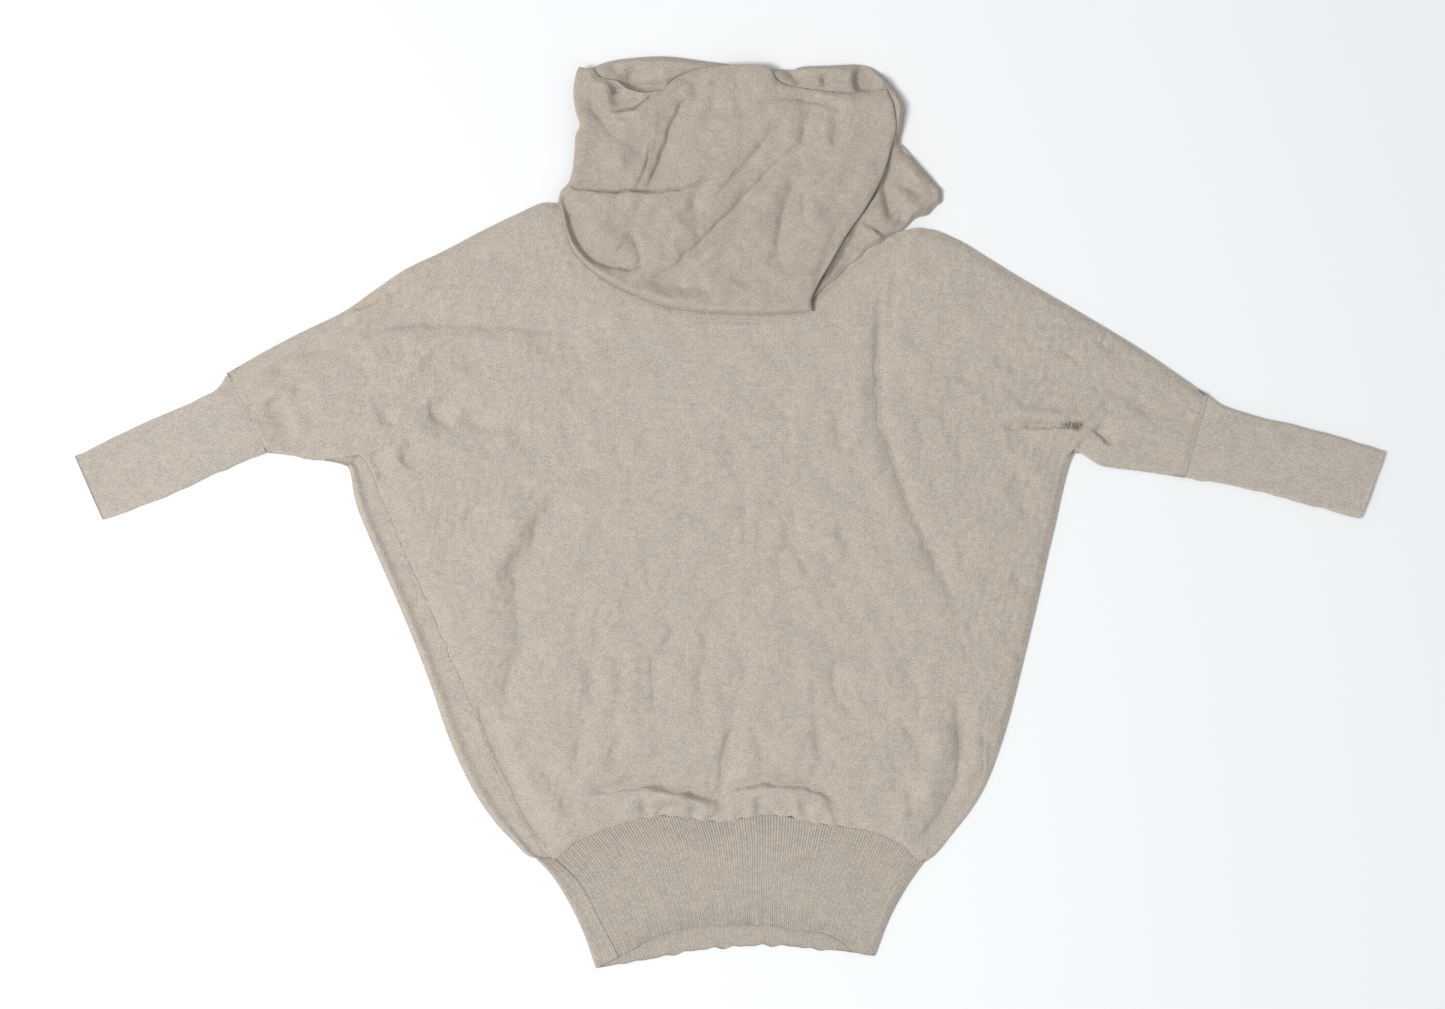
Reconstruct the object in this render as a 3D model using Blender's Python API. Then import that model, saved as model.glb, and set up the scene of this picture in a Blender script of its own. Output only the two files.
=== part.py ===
"""A batwing sweater in fine heather knit, laid flat with its front up.

Front and back are each knitted in one with the sleeves. A deep ribbed band
gathers the hem, long ribbed cuffs end the sleeves, and a wide cowl collar
lies heaped above the neckline. X runs from cuff to cuff, Y towards the
collar, and the surface that the sweater lies on is Z = 0.
"""
from collections import namedtuple

import bmesh
import bpy
import numpy as np

MM = 0.001

# Thickness of the cloth, and the play between pieces, in millimetres.
KNIT = 1.5
RIB_KNIT = 2.0
COWL_KNIT = 2.0
SEAM_GAP = 0.3

# Heights of the lying layers, in millimetres.
FRONT_LOW = RIB_KNIT + SEAM_GAP
FRONT_PUFF = 1.9
FRONT_PUFF_REACH = 14.0
CUFF_HOLLOW = 0.9
COWL_TOP = 16.0
COWL_ROLL = 9.0
COWL_CORE_TOP = 9.0
COWL_INNER_EDGE = 3.4
COWL_INNER_ROLL = 7.0
COWL_CREVICE = 9.0
COWL_LEDGE = 3.0

# Ribs: how many show, and how far they stand up.
HEM_RIBS = 98
CUFF_RIBS = 21
RIB_HEIGHT = 0.6
CUFF_RIB_HEIGHT = 0.45
HEM_SWELL = 0.9
HEM_FRONT_LOW = RIB_KNIT + RIB_HEIGHT + SEAM_GAP

# The seam line and the cowl's rim hide the panel edges by this much.
NECK_TUCK = 3.0
NECK_GROOVE = 2.4
COWL_INNER_INSET = 6.2
COWL_CREVICE_INSET = 8.0

BODY_STEPS = 2
ACROSS = [0, .02, .05, .09, .14, .21, .29, .38, .47, .56, .65, .74, .82, .89, .94, .98, 1]

# One row for each section of the body, from the left cuff joint to the right
# one. low is the outline's lower edge, seam the front panel's lower edge,
# high the outline's upper edge or the neckline, tuck how far the panel runs
# on under the cowl.
Section = namedtuple("Section", "low seam high tuck")
SECTIONS = [
    Section((-440, 57), (-440, 57), (-477, 132), 0),
    Section((-416, 54), (-416, 54), (-445, 151), 0),
    Section((-390, 50), (-390, 50), (-407, 171), 0),
    Section((-363, 43), (-353, 54), (-366, 191), 0),
    Section((-355, 9), (-329, 10), (-336, 212), 0),
    Section((-333, -45), (-309, -37), (-306, 232), 0),
    Section((-309, -100), (-287, -86), (-274, 247), 0),
    Section((-285, -161), (-263, -142), (-238, 266), 0),
    Section((-266, -216), (-242, -192), (-205, 282), 0),
    Section((-238, -273), (-219, -250), (-176, 294), 0),
    Section((-209, -309), (-197, -291), (-163, 293), 0),
    Section((-184, -328), (-168, -327), (-150, 251), NECK_TUCK),
    Section((-147, -312), (-147, -312), (-129, 228), NECK_TUCK),
    Section((-101, -293), (-101, -293), (-93, 207), NECK_TUCK),
    Section((-57, -286), (-57, -286), (-51, 193), NECK_TUCK),
    Section((-10, -292), (-10, -292), (-10, 189), NECK_TUCK),
    Section((38, -285), (38, -285), (30, 188), NECK_TUCK),
    Section((87, -294), (87, -294), (66, 190), NECK_TUCK),
    Section((129, -299), (129, -299), (100, 213), NECK_TUCK),
    Section((162, -313), (162, -313), (125, 234), NECK_TUCK),
    Section((185, -330), (185, -330), (156, 252), NECK_TUCK),
    Section((213, -302), (213, -302), (186, 269), 0),
    Section((240, -263), (240, -263), (215, 259), 0),
    Section((261, -207), (261, -207), (242, 243), 0),
    Section((277, -145), (277, -145), (271, 225), 0),
    Section((293, -78), (293, -78), (300, 208), 0),
    Section((306, -21), (306, -21), (331, 190), 0),
    Section((330, 59), (330, 59), (363, 171), 0),
    Section((354, 44), (354, 44), (392, 153), 0),
    Section((391, 39), (391, 39), (423, 132), 0),
    Section((431, 33), (431, 33), (453, 111), 0),
]
ARMPIT_ROW = 3
NECK_LEFT_ROW = 10
HEM_LEFT_ROW = 11
HEM_RIGHT_ROW = 20
COWL_FRONT_ROW = 17
NECK_RIGHT_ROW = 21

# The hem band: side edges from the waist down, and the two bottom edges.
HEM_OUTLINE_LEFT = [(-184, -328), (-169, -344), (-151, -373), (-138, -401), (-127, -432.5)]
HEM_SEAM_LEFT = [(-168, -327), (-143, -351), (-120, -393), (-106, -421)]
HEM_OUTLINE_RIGHT = [(185, -330), (165, -359), (150, -387), (137, -421)]
HEM_FRONT_BOTTOM = [(-106, -421), (-80, -405), (-40, -394), (14, -391), (56, -396), (104, -407), (137, -421)]
HEM_BACK_BOTTOM = [(-127, -432.5), (-80, -424), (-28, -415), (27, -411), (83, -414), (137, -421)]
HEM_SHARES = np.array([0, .18, .45, .74, .8, 1])
HEM_STRIP_ROW = 3

# Cuffs: lower and upper edge of each, from the sleeve joint to the open end.
CUFF_LEFT_LOW = [(-440, 57), (-484, 39), (-541, 13), (-595, -7)]
CUFF_LEFT_HIGH = [(-477, 132), (-487, 117), (-504, 108), (-560, 83), (-621.3, 53)]
CUFF_RIGHT_LOW = [(431, 33), (484, 24), (542, 9), (598, -6)]
CUFF_RIGHT_HIGH = [(453, 111), (466, 102), (484, 95), (542, 81), (621.3, 58)]

# The cowl's outline above the neckline, and the free edges of its front layer.
COWL_LEFT = [(-163, 293), (-153, 312), (-147, 344), (-142, 366), (-148, 397), (-143, 421)]
COWL_SIDE_OUTLINE = [(187, 283), (200, 300), (180, 327), (159, 351), (165, 383), (153, 405)]
COWL_REAR_TOP = [(153, 405), (130, 422), (93, 423), (57, 420), (2, 424), (-66, 431.7), (-104, 429), (-134, 417)]
COWL_FRONT_TOP = [(-143, 421), (-122, 411), (-108, 396), (-81, 394), (-39, 415), (2, 423),
                  (36, 419), (53, 404), (100, 396), (148, 400)]
COWL_FRONT_RIGHT = [(78, 190), (99, 240), (130, 290), (152, 332), (158, 358), (148, 400)]

# Soft ridges (height above 0) and troughs (below 0), each along a bend
# through three points. width is how far the fold fades out to each side.
Fold = namedtuple("Fold", "start middle end width height")
BODY_FOLDS = [
    Fold((125, 205), (134, 70), (178, -40), 13, 1.9),
    Fold((146, 200), (152, 60), (200, -55), 12, -1.2),
    Fold((-174, 8), (-202, -30), (-208, -110), 16, -1.6),
    Fold((-196, 20), (-226, -40), (-232, -120), 14, 1.3),
    Fold((-400, 90), (-330, 125), (-250, 190), 14, 1.6),
    Fold((-372, 184), (-340, 200), (-300, 212), 9, -1.6),
    Fold((-432, 118), (-426, 92), (-418, 62), 9, -1.5),
    Fold((-338, 45), (-310, 62), (-280, 95), 10, 1.6),
    Fold((-352, 58), (-318, 70), (-285, 112), 8, -1.5),
    Fold((-232, -200), (-212, -262), (-166, -305), 9, -1.8),
    Fold((-220, -180), (-200, -240), (-158, -290), 9, 1.4),
    Fold((250, 70), (300, 84), (345, 82), 9, 1.9),
    Fold((262, 84), (305, 70), (345, 62), 6, -1.9),
    Fold((190, 102), (240, 118), (290, 126), 13, 1.2),
    Fold((205, -190), (216, -262), (166, -306), 9, -1.9),
    Fold((222, -120), (236, -205), (206, -285), 12, 1.5),
    Fold((-150, -288), (-85, -268), (-12, -280), 9, 2.0),
    Fold((4, -276), (58, -266), (118, -286), 9, 2.0),
    Fold((-138, -266), (-82, -257), (-14, -270), 5, -1.6),
    Fold((8, -262), (57, -256), (104, -274), 5, -1.6),
    Fold((-3, -216), (-7, -242), (-13, -268), 6, -1.4),
    Fold((-75, -152), (-70, -180), (-73, -206), 10, 1.0),
    Fold((-60, 60), (-20, -40), (0, -150), 40, 0.8),
    Fold((400, 60), (380, 95), (372, 140), 14, -1.2),
]
COWL_FOLDS = [
    Fold((-153, 313), (-104, 304), (-46, 306), 7, -3.0),
    Fold((-150, 303), (-104, 292), (-40, 293), 9, 2.6),
    Fold((-160, 300), (-150, 246), (-84, 230), 7, -2.6),
    Fold((-156, 262), (-118, 222), (-30, 202), 12, 2.4),
    Fold((-50, 388), (-66, 352), (-80, 308), 7, -2.2),
    Fold((-62, 392), (-82, 356), (-94, 316), 10, 2.0),
    Fold((54, 356), (-14, 280), (-78, 226), 9, -2.0),
    Fold((66, 346), (2, 270), (-62, 216), 12, 2.2),
    Fold((52, 292), (47, 276), (44, 262), 10, -1.2),
    Fold((22, 392), (62, 388), (96, 384), 9, -1.6),
    Fold((100, 372), (98, 330), (66, 240), 16, 1.6),
    Fold((-142, 402), (-120, 396), (-104, 384), 6, -2.4),
    Fold((-138, 388), (-112, 378), (-88, 380), 8, 2.0),
]
COWL_SIDE_FOLDS = [
    Fold((120, 262), (148, 256), (178, 264), 8, 2.6),
    Fold((138, 304), (150, 290), (147, 272), 7, -2.8),
    Fold((166, 344), (176, 318), (186, 300), 8, 1.8),
    Fold((84, 204), (112, 228), (140, 244), 8, 1.6),
    Fold((-118, 420), (-60, 418), (20, 420), 7, 2.0),
    Fold((60, 410), (100, 410), (150, 398), 7, 2.0),
]
COWL_SIDE_TOP = 8.5
# The rear layer's rim, from its top down: how far out it bulges, and where.
COWL_RIM = [(0.8, 3.0), (0.0, 2.3), (-0.9, 1.8), (0.0, 1.3), (0.8, 0.7), (0.4, 0.0)]

KNIT_COLOUR = (0.51, 0.455, 0.39, 1)
RIB_COLOUR = (0.46, 0.41, 0.35, 1)


def through(points, steps):
    """Points on a cubic through the given ones, with steps pieces to each gap.

    The slope at a point is the harmonic mean of the moves before and after
    it, or level where they turn back, so the curve never overshoots.
    """
    p = np.asarray(points, float)
    move = np.diff(p, axis=0)
    before, after = move[:-1], move[1:]
    total = before + after
    same_way = before * after > 0
    inner = np.where(same_way, 2 * before * after / np.where(same_way, total, 1), 0)
    slope = np.vstack([move[:1], inner, move[-1:]])
    t = np.linspace(0, 1, steps, endpoint=False)[None, :, None]
    a, b = p[:-1, None], p[1:, None]
    sa, sb = slope[:-1, None], slope[1:, None]
    curve = (a * (1 - 3 * t**2 + 2 * t**3) + b * (3 * t**2 - 2 * t**3)
             + sa * (t - 2 * t**2 + t**3) + sb * (t**3 - t**2))
    return np.vstack([curve.reshape(-1, p.shape[1]), p[-1:]])


def along(path, shares):
    """Points at the given shares of the length of a path of straight runs."""
    length = np.concatenate([[0], np.cumsum(np.linalg.norm(np.diff(path, axis=0), axis=1))])
    at = np.asarray(shares) * length[-1]
    return np.stack([np.interp(at, length, path[:, k]) for k in (0, 1)], axis=1)


def even(points, shares):
    """Points at the given shares of the length of a smooth curve through points."""
    return along(through(points, 12), shares)


def distance(xy, path):
    """How far each point of xy lies from the nearest stretch of a path."""
    a, b = path[:-1], path[1:]
    ab = b - a
    rel = xy[..., None, :] - a
    share = np.clip((rel * ab).sum(-1) / np.maximum((ab**2).sum(-1), 1e-9), 0, 1)
    return np.linalg.norm(rel - share[..., None] * ab, axis=-1).min(-1)


def inside(xy, loop):
    """True where a point lies inside a closed loop, by counting crossings."""
    a, b = loop, np.roll(loop, -1, axis=0)
    x, y = xy[..., 0, None], xy[..., 1, None]
    spans = (a[:, 1] > y) != (b[:, 1] > y)
    rise = np.where(b[:, 1] == a[:, 1], 1, b[:, 1] - a[:, 1])
    cross = a[:, 0] + (y - a[:, 1]) * (b[:, 0] - a[:, 0]) / rise
    return (spans & (x < cross)).sum(-1) % 2 == 1


def folds_at(xy, folds):
    """Summed height of the folds: a bell across each one, fading at its ends."""
    height = np.zeros(xy.shape[:-1])
    t = np.linspace(0, 1, 17)[:, None]
    for fold in folds:
        start, middle, end = (np.array(p, float) for p in (fold.start, fold.middle, fold.end))
        control = 2 * middle - (start + end) / 2
        path = start * (1 - t)**2 + 2 * control * t * (1 - t) + end * t**2
        away = distance(xy, path)
        height += fold.height * np.exp(-(away / fold.width)**2)
    return height


def roll(share):
    """Quarter round: 0 at an edge, 1 where the cloth lies level again."""
    s = np.clip(share, 0, 1)
    return np.sqrt(1 - (1 - s)**2)


def smooth_step(share):
    """S-curve from 0 to 1."""
    s = np.clip(share, 0, 1)
    return s * s * (3 - 2 * s)


def at_height(xy, z):
    """XY points with a height added, as XYZ points."""
    z = np.broadcast_to(z, xy.shape[:-1])
    return np.concatenate([xy, z[..., None]], axis=-1)


def coons(low, high, left, right):
    """Grid that blends between four edge curves, less the corners' own blend."""
    u = np.concatenate([[0], np.cumsum(np.linalg.norm(np.diff(low, axis=0), axis=1))])
    u = (u / u[-1])[:, None, None]
    v = np.concatenate([[0], np.cumsum(np.linalg.norm(np.diff(left, axis=0), axis=1))])
    v = (v / v[-1])[None, :, None]
    sides = left[None] * (1 - u) + right[None] * u
    ends = low[:, None] * (1 - v) + high[:, None] * v
    corners = (low[0] * (1 - u) * (1 - v) + low[-1] * u * (1 - v)
               + high[0] * (1 - u) * v + high[-1] * u * v)
    return sides + ends - corners


def offset_loop(loop, outset):
    """A closed loop moved along its own normals, outwards where outset > 0."""
    ahead = np.roll(loop, -1, axis=0) - np.roll(loop, 1, axis=0)
    normal = np.stack([ahead[:, 1], -ahead[:, 0]], axis=1)
    normal /= np.linalg.norm(normal, axis=1, keepdims=True)
    return loop + normal * np.broadcast_to(outset, (len(loop),))[:, None]


def grid_edge(grid):
    """The border of a grid as one loop, starting along its first column."""
    return np.concatenate([grid[:, 0], grid[-1, 1:], grid[-2::-1, -1], grid[0, -2:0:-1]])


def grid_normals(grid):
    """Unit normals of a grid surface, from its slopes along rows and columns."""
    along = np.gradient(grid, axis=0)
    across = np.gradient(grid, axis=1)
    normal = np.cross(along, across)
    return normal / np.linalg.norm(normal, axis=-1, keepdims=True)


class ClothMesh:
    """Collects the faces of one closed solid, given in millimetres."""

    def __init__(self):
        self.bm = bmesh.new()

    def verts(self, points):
        flat = np.asarray(points, float).reshape(-1, 3) * MM
        made = [self.bm.verts.new(p) for p in flat]
        return np.array(made, dtype=object).reshape(np.shape(points)[:-1])

    def face(self, corners):
        if len(set(corners)) > 2:
            self.bm.faces.new(list(dict.fromkeys(corners)))

    def grid(self, v, wrap=False):
        """Faces over a grid of vertices; wrap closes it along its rows."""
        columns = range(v.shape[1]) if wrap else range(v.shape[1] - 1)
        for i in range(v.shape[0] - 1):
            for j in columns:
                k = (j + 1) % v.shape[1]
                self.face([v[i, j], v[i + 1, j], v[i + 1, k], v[i, k]])

    def strip(self, a, b):
        """Faces between two rows of vertices."""
        for i in range(len(a) - 1):
            self.face([a[i], a[i + 1], b[i + 1], b[i]])

    def finish(self, name, colour, roughness):
        """Merge shared points, point the faces outwards and make the object."""
        bmesh.ops.remove_doubles(self.bm, verts=self.bm.verts, dist=1e-7)
        bmesh.ops.triangulate(self.bm, faces=self.bm.faces)
        bmesh.ops.recalc_face_normals(self.bm, faces=self.bm.faces)
        mesh = bpy.data.meshes.new(name)
        self.bm.to_mesh(mesh)
        self.bm.free()
        obj = bpy.data.objects.new(name, mesh)
        sweater.objects.link(obj)
        material = bpy.data.materials.new(name)
        material.use_nodes = True
        shader = material.node_tree.nodes["Principled BSDF"]
        shader.inputs["Base Color"].default_value = colour
        shader.inputs["Roughness"].default_value = roughness
        mesh.materials.append(material)
        mesh.shade_smooth()
        mesh.set_sharp_from_angle(angle=0.6)
        return obj


def cloth_wall(name, outer, inner, colour):
    """A wall of cloth between two grids, closed along its four edges."""
    cloth = ClothMesh()
    top, under = cloth.verts(outer), cloth.verts(inner)
    cloth.grid(top)
    cloth.grid(under)
    for a, b in ((top[:, 0], under[:, 0]), (top[:, -1], under[:, -1]),
                 (top[0], under[0]), (top[-1], under[-1])):
        cloth.strip(a, b)
    return cloth.finish(name, colour, 0.9)


def section_curves():
    """Smooth edge curves of the body: outline low, seam, neckline or top."""
    low = through([s.low for s in SECTIONS], BODY_STEPS)
    seam = through([s.seam for s in SECTIONS], BODY_STEPS)
    high = through([s.high for s in SECTIONS], BODY_STEPS)
    tuck = through([(s.tuck, 0) for s in SECTIONS], BODY_STEPS)[:, :1]
    way = (high - low) / np.linalg.norm(high - low, axis=1, keepdims=True)
    return low, seam, high, way, tuck


def build_front(seam, top):
    """Front panel: puffed a little inside its edges, with its folds."""
    share = np.array(ACROSS)[None, :, None]
    xy = seam[:, None] * (1 - share) + top[:, None] * share
    edge = distance(xy, np.vstack([seam, top[::-1], seam[:1]]))
    lift = FRONT_PUFF * (1 - np.exp(-edge / FRONT_PUFF_REACH))
    lift += folds_at(xy, BODY_FOLDS) * smooth_step(edge / 8)
    low = FRONT_LOW + np.clip(lift, 0, None)
    cloth_wall("front", at_height(xy, low + KNIT), at_height(xy, low), KNIT_COLOUR)


def wrap_rows(edge, seam, wall, strip_low):
    """Rows of a wall that turns round a fold and runs back on top of itself.

    Each row starts where the flat wall ends, goes half round the fold, whose
    outside touches the outline, and ends at the seam. Returns outer, inner.
    """
    way = seam - edge
    width = np.linalg.norm(way, axis=1, keepdims=True)
    way /= width
    outer_radius = (strip_low + wall) / 2
    inner_radius = outer_radius - wall
    centre = edge + way * outer_radius
    outer, inner = [], []
    for turn in np.radians([-90, -45, 0, 45, 90]):
        for radius, rows in ((outer_radius, outer), (inner_radius, inner)):
            xy = centre - way * radius * np.cos(turn)
            rows.append(at_height(xy, outer_radius + radius * np.sin(turn)))
    for share, rise in ((0.5, 0.4), (1.0, 0.0)):
        xy = centre + (seam - way * SEAM_GAP - centre) * share
        outer.append(at_height(xy, strip_low + wall + rise))
        inner.append(at_height(xy, strip_low + rise))
    return np.stack(outer, axis=1), np.stack(inner, axis=1)


def build_back(low, seam, top):
    """Back panel: flat on the surface, its left edge rolled onto the front."""
    first, last = ARMPIT_ROW * BODY_STEPS, HEM_LEFT_ROW * BODY_STEPS
    rolled = slice(first, last + 1)
    outer, inner = wrap_rows(low[rolled], seam[rolled], KNIT, FRONT_LOW)
    flat_low = low.copy()
    flat_low[rolled] = outer[:, 0, :2]
    border = np.vstack([flat_low, top[::-1]])
    cloth = ClothMesh()
    under = cloth.verts(at_height(border, 0.0))
    over = cloth.verts(at_height(border, KNIT))
    cloth.face(under)
    cloth.face(over)
    count = len(border)
    for i in range(count):
        if not first <= i < last:
            j = (i + 1) % count
            cloth.face([under[i], under[j], over[j], over[i]])
    add_wrap(cloth, outer, inner)
    cloth.finish("back", KNIT_COLOUR, 0.9)


def add_wrap(cloth, outer, inner):
    """The rolled strip of a wall, open where the flat wall takes it up."""
    skin, lining = cloth.verts(outer), cloth.verts(inner)
    cloth.grid(skin)
    cloth.grid(lining)
    cloth.strip(skin[:, -1], lining[:, -1])
    cloth.strip(skin[0], lining[0])
    cloth.strip(skin[-1], lining[-1])


def ribs(count, height):
    """Rise of the ribs over a row of points: up on each second one."""
    return height * (np.arange(count) % 2)


def build_hem_front(seam):
    """Front of the hem band: ribs that fan in, over a plain flat inside."""
    rows = slice(HEM_LEFT_ROW * BODY_STEPS, HEM_RIGHT_ROW * BODY_STEPS + 1)
    count = 2 * HEM_RIBS + 1
    top = along(seam[rows], np.linspace(0, 1, count)) - (0, SEAM_GAP)
    bottom = even(HEM_FRONT_BOTTOM, np.linspace(0, 1, count))
    left = even(HEM_SEAM_LEFT, HEM_SHARES)
    right = even(HEM_OUTLINE_RIGHT, HEM_SHARES)
    left[0], left[-1], right[0], right[-1] = top[0], bottom[0], top[-1], bottom[-1]
    xy = coons(top, bottom, left, right)
    rise = ribs(count, RIB_HEIGHT)[:, None] + HEM_SWELL * np.sin(np.pi * HEM_SHARES)[None]
    cloth = ClothMesh()
    over = cloth.verts(at_height(xy, HEM_FRONT_LOW + RIB_KNIT + rise))
    cloth.grid(over)
    border = grid_edge(over)
    under = cloth.verts(at_height(grid_edge(xy), HEM_FRONT_LOW))
    cloth.face(under)
    cloth.strip(np.append(border, border[0]), np.append(under, under[0]))
    cloth.finish("hem_front", RIB_COLOUR, 0.9)


def build_hem_back(low, seam):
    """Back of the hem band: flat below, ribs where its inside shows."""
    rows = slice(HEM_LEFT_ROW * BODY_STEPS, HEM_RIGHT_ROW * BODY_STEPS + 1)
    count = 2 * HEM_RIBS + 1
    outline = even(HEM_OUTLINE_LEFT, HEM_SHARES)
    hem_seam = even(HEM_SEAM_LEFT, HEM_SHARES)
    outline[0] -= (0, SEAM_GAP)
    hem_seam[0] -= (0, SEAM_GAP)
    outer, inner = wrap_rows(outline, hem_seam, RIB_KNIT, HEM_FRONT_LOW)
    left = outer[:, 0, :2]
    top = low[rows] - (0, SEAM_GAP)
    top[0] = left[0]
    right = even(HEM_OUTLINE_RIGHT, HEM_SHARES)
    right[0] = top[-1]
    bottom = even(HEM_BACK_BOTTOM, np.linspace(0, 1, count))
    bottom[0], bottom[-1] = left[-1], right[-1]
    split = HEM_STRIP_ROW
    part = HEM_SHARES[split]
    strip_top = along(top, np.linspace(0, 1, count)) * (1 - part) + bottom * part
    strip_top[0], strip_top[-1] = left[split], right[split]
    strip = coons(strip_top, bottom, left[split:], right[split:])
    rise = ribs(count, RIB_HEIGHT)[:, None] * (HEM_SHARES[split:] > part)[None]
    rise[0] = rise[-1] = 0
    cloth = ClothMesh()
    cloth.grid(cloth.verts(at_height(strip, RIB_KNIT + rise)))
    plain = np.vstack([top, right[1:split + 1], strip_top[-2::-1], left[split - 1:0:-1]])
    cloth.face(cloth.verts(at_height(plain, RIB_KNIT)))
    border = np.vstack([top, right[1:], bottom[-2::-1], left[-2:0:-1]])
    cloth.face(cloth.verts(at_height(border, 0.0)))
    cloth.strip(cloth.verts(at_height(top, 0.0)), cloth.verts(at_height(top, RIB_KNIT)))
    cloth.strip(cloth.verts(at_height(right, 0.0)), cloth.verts(at_height(right, RIB_KNIT)))
    cloth.strip(cloth.verts(at_height(bottom, 0.0)),
                cloth.verts(at_height(bottom, RIB_KNIT + rise[:, -1])))
    add_wrap(cloth, outer, inner)
    cloth.finish("hem_back", RIB_COLOUR, 0.9)


def build_cuff(name, low_edge, high_edge):
    """A ribbed cuff: a tube pressed flat, ribs on top, open at both ends."""
    shares = np.array([0, .1, .22, .6, 1])
    low, high = even(low_edge, shares), even(high_edge, shares)
    start = (low[1] - low[0]) / np.linalg.norm(low[1] - low[0]) * SEAM_GAP
    low[0] += start
    high[0] += start
    half_height = RIB_KNIT + CUFF_HOLLOW / 2
    over = np.linspace(0, 1, 2 * CUFF_RIBS + 1)
    round_up = np.radians([-60, -20, 20, 60])
    outer, inner = [], []
    for a, b in zip(low, high):
        way = (b - a) / np.linalg.norm(b - a)
        near, far = a + way * half_height, b - way * half_height
        for wall, rings in ((0.0, outer), (RIB_KNIT, inner)):
            radius = half_height - wall
            lift = np.where(wall == 0, ribs(len(over), CUFF_RIB_HEIGHT), 0)
            ring = [at_height(near + (far - near) * over[:, None], half_height + radius + lift)]
            ring.append(at_height(far + way * radius * np.cos(round_up[::-1, None]),
                                  half_height + radius * np.sin(round_up[::-1])))
            ring.append(at_height(np.array([far, near]), half_height - radius))
            ring.append(at_height(near - way * radius * np.cos(round_up[:, None]),
                                  half_height + radius * np.sin(round_up)))
            rings.append(np.vstack(ring))
    cloth = ClothMesh()
    skin, lining = cloth.verts(np.array(outer)), cloth.verts(np.array(inner))
    cloth.grid(skin, wrap=True)
    cloth.grid(lining, wrap=True)
    for row in (0, -1):
        a, b = skin[row], lining[row]
        cloth.strip(np.append(a, a[0]), np.append(b, b[0]))
    cloth.finish(name, RIB_COLOUR, 0.9)


EDGE_SHARES = np.array([0, .02, .05, .1, .17, .25, .33, .42, .5, .58, .67, .75, .83, .9, .95, .98, 1])


def cowl_front_grid(high):
    """Plan of the cowl's front layer between its four edges, its lower edge
    lying along the neckline."""
    rows = slice(NECK_LEFT_ROW * BODY_STEPS, COWL_FRONT_ROW * BODY_STEPS + 1)
    neck = np.vstack([high[rows], COWL_FRONT_RIGHT[0]])
    return coons(even(neck, EDGE_SHARES), even(COWL_FRONT_TOP, EDGE_SHARES),
                 even(COWL_LEFT, EDGE_SHARES), even(COWL_FRONT_RIGHT, EDGE_SHARES))


def shrunk(grid, inset):
    """The same patch drawn in by inset on all four sides."""
    for _ in range(2):
        size = np.linalg.norm(np.diff(grid, axis=0), axis=-1).sum(0).mean()
        at = inset / size + (1 - 2 * inset / size) * EDGE_SHARES
        left = np.clip(np.searchsorted(EDGE_SHARES, at) - 1, 0, len(at) - 2)
        part = (at - EDGE_SHARES[left]) / (EDGE_SHARES[left + 1] - EDGE_SHARES[left])
        part = part[:, None, None]
        grid = (grid[left] * (1 - part) + grid[left + 1] * part).swapaxes(0, 1)
    return grid


def build_cowl_front(xy):
    """Front layer of the cowl: a draped wall that rolls down at its edges."""
    border = grid_edge(xy)
    edge = distance(xy, np.vstack([border, border[:1]]))
    folds = folds_at(xy, COWL_FOLDS) * smooth_step(edge / COWL_ROLL)
    z = COWL_TOP + folds - COWL_ROLL * (1 - roll(edge / COWL_ROLL))
    outer = at_height(xy, z)
    inner = outer - COWL_KNIT * grid_normals(outer)
    cloth_wall("cowl_front", outer, inner, KNIT_COLOUR)


def build_cowl_back(high, way, tuck, front_grid):
    """Rear and side layers of the cowl with the hidden ones, as one rounded
    solid: low under the front layer's edges, layered round its own rim."""
    side = len(EDGE_SHARES) - 1
    rows = slice(COWL_FRONT_ROW * BODY_STEPS + 1, NECK_RIGHT_ROW * BODY_STEPS + 1)
    neck = high[rows] + way[rows] * (tuck[rows] + NECK_GROOVE)
    outline = grid_edge(shrunk(front_grid, COWL_INNER_INSET))
    outline[side:2 * side + 1] = along(np.vstack([neck, through(COWL_SIDE_OUTLINE, 4)]), EDGE_SHARES)
    outline[2 * side:3 * side + 1] = even(COWL_REAR_TOP, EDGE_SHARES)
    crevice = grid_edge(shrunk(front_grid, COWL_CREVICE_INSET))
    core = grid_edge(shrunk(front_grid, 2 * COWL_CREVICE_INSET))
    front_border = grid_edge(front_grid)

    shares = np.array([0, .06, .15, .3, .48, .66, .8, .9, 1])[None, :, None]
    xy = outline[:, None] * (1 - shares) + crevice[:, None] * shares
    edge = distance(xy, np.vstack([outline, outline[:1]]))
    away = distance(xy, np.vstack([front_border, front_border[:1]]))
    rise = COWL_SIDE_TOP + folds_at(xy, COWL_SIDE_FOLDS) - COWL_INNER_EDGE
    rise *= 1 - np.exp(-np.clip(away - COWL_LEDGE, 0, None) / COWL_CREVICE)
    rise *= roll(edge / COWL_INNER_ROLL)
    z = COWL_INNER_EDGE + np.where(inside(xy, front_border), 0, rise)

    cloth = ClothMesh()
    rings = [cloth.verts(at_height(core, COWL_CORE_TOP))]
    rings += [cloth.verts(ring) for ring in at_height(xy, z).transpose(1, 0, 2)[::-1]]
    rings += [cloth.verts(at_height(offset_loop(outline, out), up)) for out, up in COWL_RIM]
    for a, b in zip(rings[:-1], rings[1:]):
        cloth.strip(np.append(a, a[0]), np.append(b, b[0]))
    cloth.face(rings[0])
    cloth.face(rings[-1])
    cloth.finish("cowl_back", KNIT_COLOUR, 0.9)


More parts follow.
